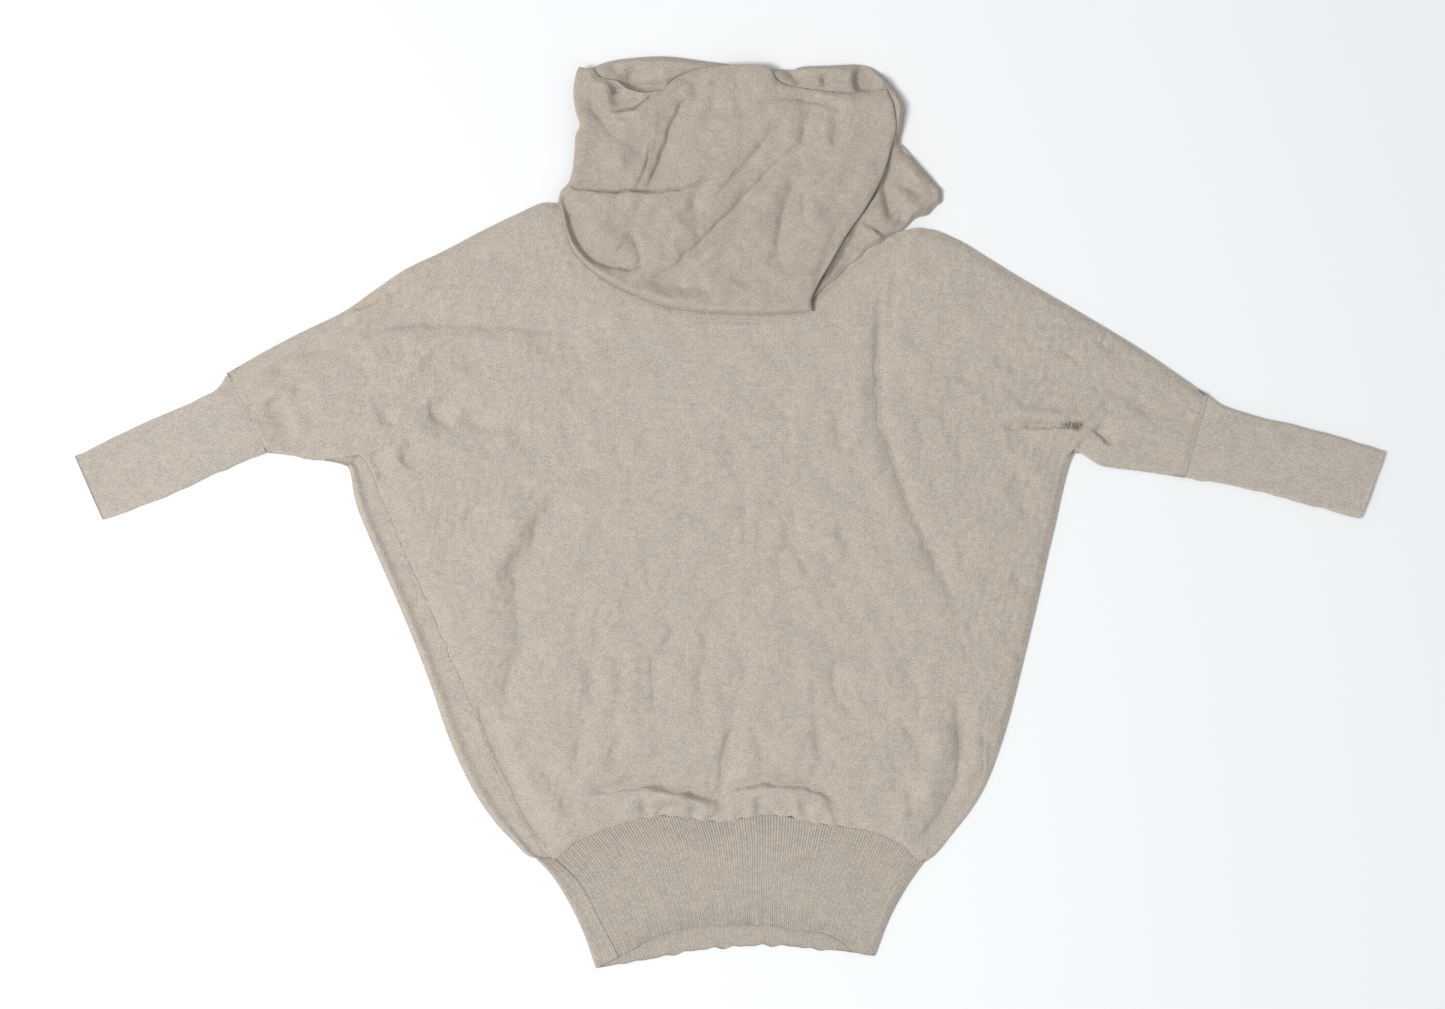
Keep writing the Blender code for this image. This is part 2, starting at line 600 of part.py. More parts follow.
for old in list(bpy.data.objects):
    bpy.data.objects.remove(old, do_unlink=True)
sweater = bpy.data.collections.new("sweater")
bpy.context.scene.collection.children.link(sweater)

outline_low, seam_line, neckline, upward, tucked = section_curves()
panel_top = neckline + upward * tucked
build_back(outline_low, seam_line, panel_top)
build_front(seam_line, panel_top)
build_hem_back(outline_low, seam_line)
build_hem_front(seam_line)
build_cuff("left_cuff", CUFF_LEFT_LOW, CUFF_LEFT_HIGH)
build_cuff("right_cuff", CUFF_RIGHT_LOW, CUFF_RIGHT_HIGH)
front_layer = cowl_front_grid(neckline)
build_cowl_front(front_layer)
build_cowl_back(neckline, upward, tucked, front_layer)
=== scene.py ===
from collections import namedtuple

import bpy
import numpy as np
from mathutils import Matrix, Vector


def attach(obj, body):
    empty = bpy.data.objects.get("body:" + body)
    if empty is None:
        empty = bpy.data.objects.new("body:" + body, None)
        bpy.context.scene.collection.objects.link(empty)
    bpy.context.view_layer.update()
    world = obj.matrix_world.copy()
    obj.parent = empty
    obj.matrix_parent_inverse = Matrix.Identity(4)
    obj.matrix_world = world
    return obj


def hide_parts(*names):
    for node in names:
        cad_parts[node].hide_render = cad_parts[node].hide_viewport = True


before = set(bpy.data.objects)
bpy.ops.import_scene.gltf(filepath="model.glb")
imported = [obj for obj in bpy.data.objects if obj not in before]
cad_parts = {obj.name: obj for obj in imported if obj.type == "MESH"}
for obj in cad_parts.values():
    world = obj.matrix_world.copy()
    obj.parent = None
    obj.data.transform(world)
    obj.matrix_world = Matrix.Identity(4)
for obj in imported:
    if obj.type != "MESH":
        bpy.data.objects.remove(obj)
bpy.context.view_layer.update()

# Front panel
# The real one is fine heather jersey, knitted in one with the front halves of
# both sleeves. It lies puffed a little over the back, gathered into the hem
# band below, with the soft folds that it fell into when it was laid down.
MM = 0.001
Section = namedtuple("Section", "low seam high tuck")
SECTIONS = [
    Section((-440, 57), (-440, 57), (-477, 132), 0),
    Section((-416, 54), (-416, 54), (-445, 151), 0),
    Section((-390, 50), (-390, 50), (-407, 171), 0),
    Section((-363, 43), (-353, 54), (-366, 191), 0),
    Section((-355, 9), (-329, 10), (-336, 212), 0),
    Section((-333, -45), (-309, -37), (-306, 232), 0),
    Section((-309, -100), (-287, -86), (-274, 247), 0),
    Section((-285, -161), (-263, -142), (-238, 266), 0),
    Section((-266, -216), (-242, -192), (-205, 282), 0),
    Section((-238, -273), (-219, -250), (-176, 294), 0),
    Section((-209, -309), (-197, -291), (-163, 293), 0),
    Section((-184, -328), (-168, -327), (-150, 251), 12),
    Section((-147, -312), (-147, -312), (-129, 228), 12),
    Section((-101, -293), (-101, -293), (-93, 207), 12),
    Section((-57, -286), (-57, -286), (-51, 193), 12),
    Section((-10, -292), (-10, -292), (-10, 189), 12),
    Section((38, -285), (38, -285), (30, 188), 12),
    Section((87, -294), (87, -294), (66, 190), 12),
    Section((129, -299), (129, -299), (100, 213), 12),
    Section((162, -313), (162, -313), (125, 234), 12),
    Section((185, -330), (185, -330), (156, 252), 12),
    Section((213, -302), (213, -302), (186, 269), 0),
    Section((240, -263), (240, -263), (215, 259), 0),
    Section((261, -207), (261, -207), (242, 243), 0),
    Section((277, -145), (277, -145), (271, 225), 0),
    Section((293, -78), (293, -78), (300, 208), 0),
    Section((306, -21), (306, -21), (331, 190), 0),
    Section((329, 57), (329, 57), (363, 171), 0),
    Section((354, 44), (354, 44), (392, 153), 0),
    Section((391, 39), (391, 39), (423, 132), 0),
    Section((431, 33), (431, 33), (453, 111), 0),
]
ROW_GAPS = (4.9, 3.1)
COLUMNS = 192
EDGE_STEPS = np.array([0, .4, 1, 1.8, 2.8, 4])

FRONT_TOP = 3.8
FRONT_PUFF = 4.6
PUFF_REACH = 17
FOLD_DEPTH = 2.7
FOLDED_EDGE = 1.95
CLOTH = 1.2

# One row for each fold: the curve that it follows, how far it fades out to
# each side, its height (a trough below 0), the side of the curve that it
# keeps (1 left, -1 right, 0 both) and the depth of the crease along it.
Fold = namedtuple("Fold", "points width height side crease")
BODY_FOLDS = [
    Fold([(-368, 189), (-345, 194), (-331, 199), (-325, 208)], 9, 1.5, -1, 1.0),
    Fold([(-354, 162), (-331, 170), (-306, 176), (-270, 176), (-214, 174), (-134, 163)], 7, -1.0, 0, .5),
    Fold([(-350, 151), (-300, 163), (-240, 162), (-170, 155)], 12, .9, 0, 0),
    Fold([(-290, 103), (-280, 88), (-264, 79)], 5, -2.5, 0, 0),
    Fold([(-302, 96), (-294, 78), (-276, 66)], 7, .6, 0, 0),
    Fold([(-304, 71), (-308, 60), (-315, 49)], 5, -2.3, 0, 0),
    Fold([(-334, 83), (-326, 83), (-317, 80)], 5, -1.2, 0, .3),
    Fold([(-258, 93), (-248, 82), (-226, 75), (-190, 72)], 6, -1.4, 0, 0),
    Fold([(-344, 54), (-336, 41), (-328, 26)], 6, -1.3, 0, 0),
    Fold([(-262, 136), (-237, 141), (-205, 146)], 9, -.9, 0, 0),
    Fold([(-294, 143), (-287, 136), (-279, 128)], 9, -1.1, 0, 0),
    Fold([(-168, 28), (-184, -10), (-198, -40), (-209, -62), (-208, -98), (-206, -130)], 9, -2.4, 0, 0),
    Fold([(-190, 20), (-208, -20), (-224, -56), (-228, -110)], 13, 1.1, 0, 0),
    Fold([(-184, -116), (-206, -134), (-218, -162), (-220, -196)], 8, -2.0, 0, 0),
    Fold([(-205, 53), (-175, 65), (-130, 71)], 10, -.7, 0, 0),
    Fold([(-442, 106), (-434, 94), (-427, 81), (-421, 66), (-416, 54)], 8, -3.6, 0, 0),
    Fold([(-424, 118), (-414, 92), (-404, 66)], 11, 1.9, 0, 0),
    Fold([(-456, 106), (-455, 92), (-447, 84)], 3, -1.0, 0, .4),
    Fold([(-409, 128), (-412, 118), (-415, 107)], 5, -1.0, 0, 0),
    Fold([(-430, 145), (-405, 148), (-375, 151)], 5, -1.0, 0, 0),
    Fold([(-458, 116), (-445, 127), (-427, 134)], 6, 1.3, 0, 0),
    Fold([(144, 228), (139, 200), (138, 166), (139, 97), (148, 63), (170, -1), (187, -37), (206, -74)],
         6, -1.4, 0, .5),
    Fold([(155, 215), (152, 150), (154, 95), (172, 30), (196, -30)], 10, .5, 0, 0),
    Fold([(124, 205), (123, 150), (125, 95), (140, 40), (166, -24)], 12, .6, 0, 0),
    Fold([(153, 227), (149, 194), (148, 164)], 4, -.8, 0, 0),
    Fold([(256, 79), (284, 81), (306, 80), (324, 80), (342, 80)], 8, 1.3, -1, 2.2),
    Fold([(256, 93), (300, 92), (344, 91)], 6, 1.3, 0, 0),
    Fold([(236, 77), (262, 77), (288, 78), (308, 81)], 5, -.8, 0, 0),
    Fold([(343, 79), (352, 72), (362, 64)], 2.1, -3.2, 0, .8),
    Fold([(334, 73), (331, 64), (326, 52)], 8, 1.0, -1, .8),
    Fold([(240, 97), (254, 100), (284, 108), (318, 113)], 7, -.9, 0, 0),
    Fold([(203, 84), (215, 97), (228, 101)], 4, -.8, 0, 0),
    Fold([(262, 67), (275, 70), (289, 72)], 5, -.9, 0, 0),
    Fold([(172, 89), (177, 75), (182, 61)], 5, -.8, 0, 0),
    Fold([(211, 75), (213, 60), (216, 45)], 5, -.7, 0, 0),
    Fold([(348, 160), (356, 154), (365, 148)], 5, -.9, 0, 0),
    Fold([(398, 119), (407, 110), (415, 103)], 4, -.8, 0, 0),
    Fold([(381, 108), (388, 95), (394, 84)], 5, -.8, 0, 0),
    Fold([(294, 126), (337, 119), (371, 105), (392, 86)], 8, -.9, 0, 0),
    Fold([(261, 32), (268, 16), (277, -12)], 6, -.7, 0, 0),
    Fold([(-134, -268), (-107, -263), (-82, -260), (-40, -267), (-23, -273), (-8, -278)], 11, 2.4, -1, 2.6),
    Fold([(-8, -274), (4, -262), (41, -257), (77, -262), (91, -269), (101, -280)], 11, 2.4, -1, 2.6),
    Fold([(-118, -266), (-82, -260), (-40, -267), (-12, -277)], 3, -2.1, 0, 0),
    Fold([(0, -266), (41, -258), (77, -263), (96, -274)], 3, -2.1, 0, 0),
    Fold([(-150, -296), (-100, -278), (-60, -272), (-20, -281), (0, -284)], 9, .9, 0, 0),
    Fold([(0, -284), (40, -271), (75, -275), (112, -286)], 9, .9, 0, 0),
    Fold([(-88, -272), (-84, -280), (-78, -290)], 3, -1.3, 0, 0),
    Fold([(-60, -275), (-64, -281), (-69, -288)], 3, -1.2, 0, 0),
    Fold([(-38, -276), (-36, -284), (-37, -291)], 3, -1.1, 0, 0),
    Fold([(-14, -270), (-15, -280), (-18, -292)], 3, -1.0, 0, 0),
    Fold([(21, -272), (25, -279), (28, -286)], 3, -1.3, 0, 0),
    Fold([(44, -270), (45, -277), (44, -286)], 3, -.9, 0, 0),
    Fold([(64, -272), (67, -279), (70, -288)], 3, -1.2, 0, 0),
    Fold([(88, -272), (93, -280), (98, -292)], 3, -1.2, 0, 0),
    Fold([(-2, -204), (-3, -216), (-6, -238), (-10, -258), (-11, -274)], 4, -2.1, 0, 1.6),
    Fold([(4, -212), (2, -236), (-3, -262)], 6, .3, 0, 0),
    Fold([(-22, -254), (-20, -264), (-15, -276)], 4, -1.2, 0, 0),
    Fold([(-246, -176), (-228, -222), (-211, -256), (-199, -284), (-184, -307), (-164, -320)], 7, -2.4, 0, .6),
    Fold([(-222, -190), (-198, -246), (-168, -290), (-140, -302)], 12, 1.3, 0, 0),
    Fold([(214, -180), (216, -219), (213, -252), (202, -275), (186, -300), (164, -314)], 8, -2.5, 0, .6),
    Fold([(198, -196), (194, -244), (172, -280), (150, -298)], 11, 1.2, 0, 0),
    Fold([(232, -170), (234, -220), (216, -268), (192, -306)], 10, 1.4, 0, 0),
    Fold([(154, -256), (167, -272), (170, -291)], 5, -1.0, 0, 0),
    Fold([(25, -204), (26, -226), (27, -252)], 4, -.6, 0, 0),
    Fold([(63, -220), (65, -230), (66, -245)], 4, -.5, 0, 0),
    Fold([(80, -196), (80, -216), (83, -248)], 5, -.8, 0, 0),
    Fold([(76, -158), (77, -178), (79, -200)], 4, -.6, 0, 0),
    Fold([(-74, -134), (-75, -160), (-74, -190)], 4, -.9, 0, .3),
    Fold([(-17, -134), (-14, -156), (-10, -180)], 5, -.6, 0, 0),
    Fold([(41, -84), (47, -98), (52, -118)], 4, -.5, 0, 0),
    Fold([(96, -76), (118, -106), (140, -136)], 5, -.6, 0, 0),
    Fold([(176, -24), (194, -58), (212, -92)], 6, -.9, 0, 0),
    Fold([(202, -158), (214, -198), (218, -248)], 7, -.8, 0, 0),
    Fold([(233, -202), (238, -222), (243, -244)], 5, -.7, 0, 0),
    Fold([(-162, -283), (-127, -283), (-96, -282)], 6, -.8, 0, 0),
]


def curve_at(points, places):
    """Points on a cubic through the given ones, at places counted in gaps.

    The slope at a point is the harmonic mean of the moves before and after
    it, or level where they turn back, so the curve never overshoots.
    """
    p = np.asarray(points, float)
    move = np.diff(p, axis=0)
    before, after = move[:-1], move[1:]
    same_way = before * after > 0
    inner = np.where(same_way, 2 * before * after / np.where(same_way, before + after, 1), 0)
    slope = np.vstack([move[:1], inner, move[-1:]])
    k = np.minimum(np.asarray(places).astype(int), len(p) - 2)
    t = (places - k)[:, None]
    return (p[k] * (1 - 3 * t**2 + 2 * t**3) + p[k + 1] * (3 * t**2 - 2 * t**3)
            + slope[k] * (t - 2 * t**2 + t**3) + slope[k + 1] * (t**3 - t**2))


def through(points, steps):
    """The curve through the points, with steps pieces to each gap."""
    return curve_at(points, np.linspace(0, len(points) - 1, (len(points) - 1) * steps + 1))


def nearest(xy, path):
    """Distance from each point to a path, positive on its left, and how far
    along the path, from 0 to 1, its nearest point is."""
    a, ab = path[:-1], np.diff(path, axis=0)
    length = np.linalg.norm(ab, axis=1)
    start = np.concatenate([[0], np.cumsum(length)])
    best = np.full(xy.shape[:-1], np.inf)
    sign = np.ones(xy.shape[:-1])
    along = np.zeros(xy.shape[:-1])
    for k in range(len(ab)):
        rel = xy - a[k]
        share = np.clip((rel @ ab[k]) / max(length[k]**2, 1e-9), 0, 1)
        away = np.linalg.norm(rel - share[..., None] * ab[k], axis=-1)
        closer = away < best
        best = np.where(closer, away, best)
        side = ab[k, 0] * rel[..., 1] - ab[k, 1] * rel[..., 0]
        sign = np.where(closer, np.sign(side), sign)
        along = np.where(closer, (start[k] + share * length[k]) / start[-1], along)
    return best * sign, along


def away_from(xy, path):
    """Plain distance from each point to a path."""
    return np.abs(nearest(xy, np.asarray(path, float))[0])


def relief(xy, folds, drop, crease_width, wobble):
    """Summed height of the folds: a bell across each curve, fading out at its
    ends. A trough is steep on its right, where the curve marks the middle of
    the slope, and runs out gently on its left. A one-sided fold drops off
    steeply on its other side, and its crease is a narrow bell sunk at the
    foot of that drop. The points are first moved a little by soft noise, so
    no fold runs quite true."""
    moved = xy + wobble * np.stack([ripple(xy, 14, 40, 71), ripple(xy, 14, 40, 72)], axis=-1)
    height = np.zeros(xy.shape[:-1])
    for fold in folds:
        path = through(fold.points, 6)
        reach = 3 * max(fold.width, crease_width) + drop
        close = np.all((moved > path.min(0) - reach) & (moved < path.max(0) + reach), axis=-1)
        across, along = nearest(moved[close], path)
        fade = (1 - np.abs(2 * along - 1)**4) * (1 + .22 * np.sin(9 * along + fold.width + path[0, 0]))
        if fold.side:
            s = across * fold.side
            bell = np.where(s > 0, np.exp(-(s / fold.width)**2), np.exp(-(s / drop)**2))
            crease = np.exp(-((s + drop) / crease_width)**2)
        elif fold.height < 0:
            s = (across - 1.5) / fold.width - .5
            bell = np.exp(-np.abs(s / np.where(s < 0, 1, 2.2))**1.3)
            crease = np.exp(-((across - 2) / crease_width)**2)
        else:
            bell, crease = np.exp(-(across / fold.width)**2), 0
        height[close] += fade * (fold.height * bell - fold.crease * crease)
    return height


def roll(share):
    """Quarter round: 0 at an edge, 1 where the cloth lies level again."""
    s = np.clip(share, 0, 1)
    return np.sqrt(1 - (1 - s)**2)


def smooth_step(share):
    """S-curve from 0 to 1."""
    s = np.clip(share, 0, 1)
    return s * s * (3 - 2 * s)


def soft_floor(height, lowest):
    """The height, eased so that it comes near the lowest value and not below:
    a soft maximum of the two, rounded over about 1 mm."""
    over = height - lowest
    return lowest + .5 * (over + np.sqrt(over * over + 1))


def ripple(xy, shortest, longest, seed):
    """Soft unevenness of about 1 in height: a sum of 40 sine waves in random
    directions, with wavelengths between the shortest and the longest."""
    rng = np.random.default_rng(seed)
    waves = 40
    length = shortest * (longest / shortest)**rng.random(waves)
    turn = rng.random(waves) * 2 * np.pi
    phase = rng.random(waves) * 2 * np.pi
    kx, ky = 2 * np.pi * np.cos(turn) / length, 2 * np.pi * np.sin(turn) / length
    total = np.zeros(xy.shape[:-1])
    for k in range(waves):
        total += np.sin(kx[k] * xy[..., 0] + ky[k] * xy[..., 1] + phase[k])
    return total / np.sqrt(waves)


def scattered(count, low, high, length, lean, seed):
    """Short soft troughs in a box, each with its own place, length and lean
    from upright, in the seeded order that chance gives."""
    rng = np.random.default_rng(seed)
    middle = rng.uniform(low, high, (count, 2))
    half = rng.uniform(*length, count) / 2
    turn = np.radians(lean[0] + lean[1] * rng.normal(size=count))
    way = np.stack([np.sin(turn), np.cos(turn)], axis=1)
    bend = rng.uniform(-.3, .3, count)[:, None] * half[:, None] * way[:, ::-1] * (1, -1)
    wide, deep = rng.uniform(2.4, 4.6, count), rng.uniform(.3, .7, count)
    return [Fold([m + w * h, m + b, m - w * h], c, -d, 0, 0)
            for m, w, h, b, c, d in zip(middle, way, half, bend, wide, deep)]


def stack(xy, z):
    """XY points with a height, as XYZ points."""
    return np.concatenate([xy, np.broadcast_to(z, xy.shape[:-1])[..., None]], axis=-1)


def normals(grid, around=False):
    """Unit normals of a grid: the cross product of its two slopes."""
    along = np.gradient(grid, axis=0)
    if around:
        across = np.roll(grid, -1, axis=1) - np.roll(grid, 1, axis=1)
    else:
        across = np.gradient(grid, axis=1)
    normal = np.cross(along, across)
    return normal / np.maximum(np.linalg.norm(normal, axis=-1, keepdims=True), 1e-9)


def quads(index):
    """Four-sided faces over a 2D array of vertex numbers."""
    return np.stack([index[:-1, :-1], index[1:, :-1], index[1:, 1:], index[:-1, 1:]], axis=-1).reshape(-1, 4)


def rim(a, b):
    """Four-sided faces between two rows of vertex numbers, or triangles where
    one piece of the second row spans a few of the first."""
    if len(a) == len(b):
        return quads(np.stack([a, b], axis=1))
    ratio = (len(a) - 1) // (len(b) - 1)
    first = np.stack([a[:-1], a[1:], np.repeat(b[:-1], ratio)], axis=1)
    turn = np.stack([a[ratio::ratio], b[1:], b[:-1]], axis=1)
    return np.concatenate([first, turn])


def piece(name, points, faces, uv, material):
    """Make the object from points in mm, arrays of faces, and a UV in mm."""
    mesh = bpy.data.meshes.new(name)
    mesh.vertices.add(len(points))
    mesh.vertices.foreach_set("co", (points * MM).astype(np.float32).ravel())
    corners = np.concatenate([f.ravel() for f in faces]).astype(np.int32)
    sides = np.concatenate([np.full(len(f), f.shape[1]) for f in faces])
    mesh.loops.add(len(corners))
    mesh.loops.foreach_set("vertex_index", corners)
    mesh.polygons.add(len(sides))
    mesh.polygons.foreach_set("loop_start", np.append(0, np.cumsum(sides)[:-1]).astype(np.int32))
    layer = mesh.uv_layers.new(name="knit")
    layer.data.foreach_set("uv", (uv[corners] * MM).astype(np.float32).ravel())
    mesh.update(calc_edges=True)
    mesh.validate()
    mesh.polygons.foreach_set("use_smooth", np.ones(len(mesh.polygons), dtype=bool))
    mesh.materials.append(material)
    obj = bpy.data.objects.new(name, mesh)
    bpy.context.scene.collection.objects.link(obj)
    return obj


def shell(name, surface, thickness, material, uv, outer=0.0, inner=0.0, coarse=1):
    """A closed wall: the surface plus its outer relief, and behind it, along
    the normals, the inside at the wall's thickness; rims close the edges. A
    plain inside can be coarse, with only some of the rows and columns."""
    n = normals(surface)
    shape = surface.shape[:2]
    over = surface + n * np.broadcast_to(outer, shape)[..., None]
    under = (surface - n * (thickness + np.broadcast_to(inner, shape))[..., None])[::coarse, ::coarse]
    index = np.arange(over[..., 0].size).reshape(over.shape[:2])
    back = np.arange(under[..., 0].size).reshape(under.shape[:2]) + index.size
    faces = [quads(index), quads(back)[:, ::-1], rim(index[0], back[0])[:, ::-1], rim(index[-1], back[-1]),
             rim(index[:, 0], back[:, 0]), rim(index[:, -1], back[:, -1])[:, ::-1]]
    points = np.concatenate([over.reshape(-1, 3), under.reshape(-1, 3)])
    uvs = np.concatenate([uv.reshape(-1, 2), uv[::coarse, ::coarse].reshape(-1, 2)])
    return piece(name, points, faces, uvs, material)


def node(tree, kind, inputs=(), **settings):
    """Add a shader node, set its properties, and link or set its inputs."""
    made = tree.nodes.new(kind)
    for key, value in settings.items():
        setattr(made, key, value)
    for key, value in dict(inputs).items():
        if isinstance(value, bpy.types.NodeSocket):
            tree.links.new(value, made.inputs[key])
        else:
            made.inputs[key].default_value = value
    return made


def math(tree, operation, a, b=0.0, c=0.0):
    """Output of a Math node."""
    return node(tree, "ShaderNodeMath", {0: a, 1: b, 2: c}, operation=operation).outputs[0]


def heather_knit(name, warm, cool, stitch, depth, speckle=1.0):
    """Heather yarn: a warm and a cool fibre colour mixed by noise at three
    sizes, matte with a soft sheen. The bump is rows of knit stitches, V
    shapes of the given width and height, along the piece's own UV."""
    material = bpy.data.materials.new(name)
    material.use_nodes = True
    tree = material.node_tree
    shader = tree.nodes["Principled BSDF"]
    coords = node(tree, "ShaderNodeTexCoord")
    stretched = node(tree, "ShaderNodeMapping", {"Vector": coords.outputs["Object"], "Scale": (.75, 1.25, 1.0)})

    def noise(scale, detail, rough=.6):
        made = node(tree, "ShaderNodeTexNoise", {"Vector": stretched.outputs[0], "Scale": scale,
                                                 "Detail": detail, "Roughness": rough})
        return math(tree, "SUBTRACT", made.outputs["Fac"], .5)

    fibre = noise(1500, 2)
    yarn = noise(680, 2)
    patch = noise(130, 3, .55)
    cloud = noise(26, 2)
    mix = math(tree, "MULTIPLY_ADD", fibre, 3.8 * speckle, .5)
    mix = math(tree, "MULTIPLY_ADD", yarn, 3.1 * speckle, mix)
    mix = math(tree, "MULTIPLY_ADD", patch, 1.0, mix)
    mix = math(tree, "MULTIPLY_ADD", cloud, .45, mix)
    clamp = node(tree, "ShaderNodeClamp", {"Value": mix})
    colour = node(tree, "ShaderNodeMix", data_type="RGBA")
    tree.links.new(clamp.outputs[0], colour.inputs[0])
    colour.inputs[6].default_value = (*cool, 1)
    colour.inputs[7].default_value = (*warm, 1)
    tree.links.new(colour.outputs[2], shader.inputs["Base Color"])

    uv = node(tree, "ShaderNodeUVMap", uv_map="knit")
    parts = node(tree, "ShaderNodeSeparateXYZ", {0: uv.outputs[0]})
    across = math(tree, "DIVIDE", parts.outputs[0], stitch[0])
    column = math(tree, "FRACT", across)
    slant = math(tree, "ABSOLUTE", math(tree, "SUBTRACT", column, .5))
    row = math(tree, "ADD", math(tree, "DIVIDE", parts.outputs[1], stitch[1]), slant)
    loop = math(tree, "SINE", math(tree, "MULTIPLY", row, 2 * np.pi))
    wale = math(tree, "SINE", math(tree, "MULTIPLY", column, np.pi))
    height = math(tree, "MULTIPLY_ADD", math(tree, "MULTIPLY", loop, wale), .35, wale)
    height = math(tree, "MULTIPLY_ADD", yarn, 1.6, height)
    bump = node(tree, "ShaderNodeBump", {"Height": height, "Distance": depth, "Strength": .8})
    tree.links.new(bump.outputs[0], shader.inputs["Normal"])
    shader.inputs["Roughness"].default_value = .92
    shader.inputs["Specular IOR Level"].default_value = .22
    shader.inputs["Sheen Weight"].default_value = .4
    shader.inputs["Sheen Roughness"].default_value = .35
    return material


def lay(obj, replaced):
    """The piece stands for its solid, which is hidden, and moves with the sweater."""
    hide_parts(replaced)
    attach(obj, "root")


WARM = (.606, .517, .426)
COOL = (.398, .366, .334)
jersey = heather_knit("heather_jersey", WARM, COOL, (.0015, .0012), .00022)

middles = np.array([np.add(s.seam, s.high) / 2 for s in SECTIONS])
row_gap = np.where(np.abs(middles[:-1, 0]) > 375, ROW_GAPS[0], ROW_GAPS[1])
ends = np.array([[s.seam, s.high] for s in SECTIONS])
apart = np.ceil(np.linalg.norm(np.diff(ends, axis=0), axis=2).max(1) / row_gap).astype(int)
apart[-1] += -apart.sum() % 4
row_places = np.append(np.repeat(np.arange(len(apart)), apart)
                       + np.concatenate([np.arange(n) / n for n in apart]), len(apart))
ARMPIT, NECK_LEFT, HEM_LEFT, COWL_CORNER, HEM_RIGHT, NECK_RIGHT = np.searchsorted(row_places, (3, 10, 11, 17, 20, 21))
outline_low = curve_at([s.low for s in SECTIONS], row_places)
side_seam = curve_at([s.seam for s in SECTIONS], row_places)
outline_high = curve_at([s.high for s in SECTIONS], row_places)
tuck = curve_at([(s.tuck, 0) for s in SECTIONS], row_places)[:, :1]
upward = (outline_high - outline_low) / np.linalg.norm(outline_high - outline_low, axis=1, keepdims=True)
panel_high = outline_high + upward * tuck
hem_line = side_seam[HEM_LEFT:HEM_RIGHT + 1]
seam_run = side_seam[ARMPIT:HEM_LEFT + 1]
seam_run += (.5 * ripple(seam_run, 14, 40, 6) * np.sin(np.linspace(0, np.pi, len(seam_run))))[:, None]
top_left, bottom_left = outline_high[:NECK_LEFT + 1], outline_low[:ARMPIT + 1]
top_right, bottom_right = outline_high[NECK_RIGHT:], outline_low[HEM_RIGHT:]


def across_rows(low, high, columns, power=1.0):
    """Grid between two edge curves: close steps beside each edge; between
    them even ones, or with a power above 1 ones that grow from the low edge."""
    way = high - low
    length = np.linalg.norm(way, axis=1, keepdims=True)
    near = EDGE_STEPS[None] / length
    between = np.linspace(0, 1, columns - 2 * len(EDGE_STEPS) + 2)[None, 1:-1]**power
    first, last = near[:, -1:], 1 - near[:, -1:]
    share = np.concatenate([near, first + (last - first) * between, 1 - near[:, ::-1]], axis=1)
    return low[:, None] + way[:, None] * share[..., None]


# The hem edge overlaps the top of the ribs, in uneven little scallops.
HEM_OVERLAP = 1.6
hem_gather = np.clip((112 - np.abs(side_seam[:, 0] - 2)) / 25, 0, 1)
scallop = hem_gather * (np.sin(side_seam[:, 0] * .41) + np.sin(side_seam[:, 0] * .26 + 2)) * .65
front_low = side_seam.copy()
front_low[HEM_LEFT:HEM_RIGHT + 1, 1] -= (HEM_OVERLAP + scallop)[HEM_LEFT:HEM_RIGHT + 1]
front_xy = across_rows(front_low, panel_high, COLUMNS + 1, 1.18)
folded = np.minimum.reduce([away_from(front_xy, p) for p in (top_left, bottom_left, top_right, bottom_right)])
from_seam = away_from(front_xy, side_seam[ARMPIT:HEM_LEFT + 1])
from_hem = away_from(front_xy, front_low[HEM_LEFT:HEM_RIGHT + 1])
from_cuff = np.minimum(away_from(front_xy, [SECTIONS[0].low, SECTIONS[0].high]),
                       away_from(front_xy, [SECTIONS[-1].low, SECTIONS[-1].high]))
from_neck = away_from(front_xy, outline_high[NECK_LEFT:NECK_RIGHT + 1])
from_edge = np.minimum.reduce([folded, from_seam, from_neck])
gather = np.interp(front_xy[..., 0], side_seam[HEM_LEFT:HEM_RIGHT + 1, 0], scallop[HEM_LEFT:HEM_RIGHT + 1])
lift = FRONT_PUFF * (1 - np.exp(-np.minimum.reduce([folded, from_seam, from_neck + 16, from_hem]) / PUFF_REACH))
crumples = (scattered(30, (-150, -240), (10, -60), (26, 80), (8, 12), 51)
            + scattered(30, (10, -230), (170, -30), (26, 80), (-20, 12), 52)
            + scattered(18, (-60, -40), (130, 100), (24, 60), (-28, 14), 56)
            + scattered(10, (-280, -60), (-100, 60), (20, 46), (30, 20), 57)
            + scattered(16, (-320, 80), (-140, 190), (20, 60), (75, 14), 53)
            + scattered(9, (200, 95), (330, 150), (24, 60), (-66, 8), 54)
            + scattered(10, (190, -160), (280, 50), (20, 50), (-30, 20), 58))
lift += FOLD_DEPTH * relief(front_xy, BODY_FOLDS + crumples, 1.8, 2.2, .9) * smooth_step(from_edge / 7)
lift += 1.1 * gather * np.exp(-(from_hem / 13)**2)
lift += .6 * ripple(front_xy, 24, 80, 3) * smooth_step(from_edge / 16)
lift += .27 * ripple(front_xy, 7, 16, 4)
front_z = FRONT_TOP + soft_floor(lift, -1.2) + 1.0 * (1 - smooth_step(from_cuff / 14))
front_z += 1.3 * (1 - smooth_step(from_hem / 24))
front_z = FOLDED_EDGE + (front_z - FOLDED_EDGE) * (1 - np.clip(1 - folded / 7, 0, 1)**1.6)
tucked_in = nearest(front_xy, outline_high[NECK_LEFT:NECK_RIGHT + 1])[0] * tuck / 12
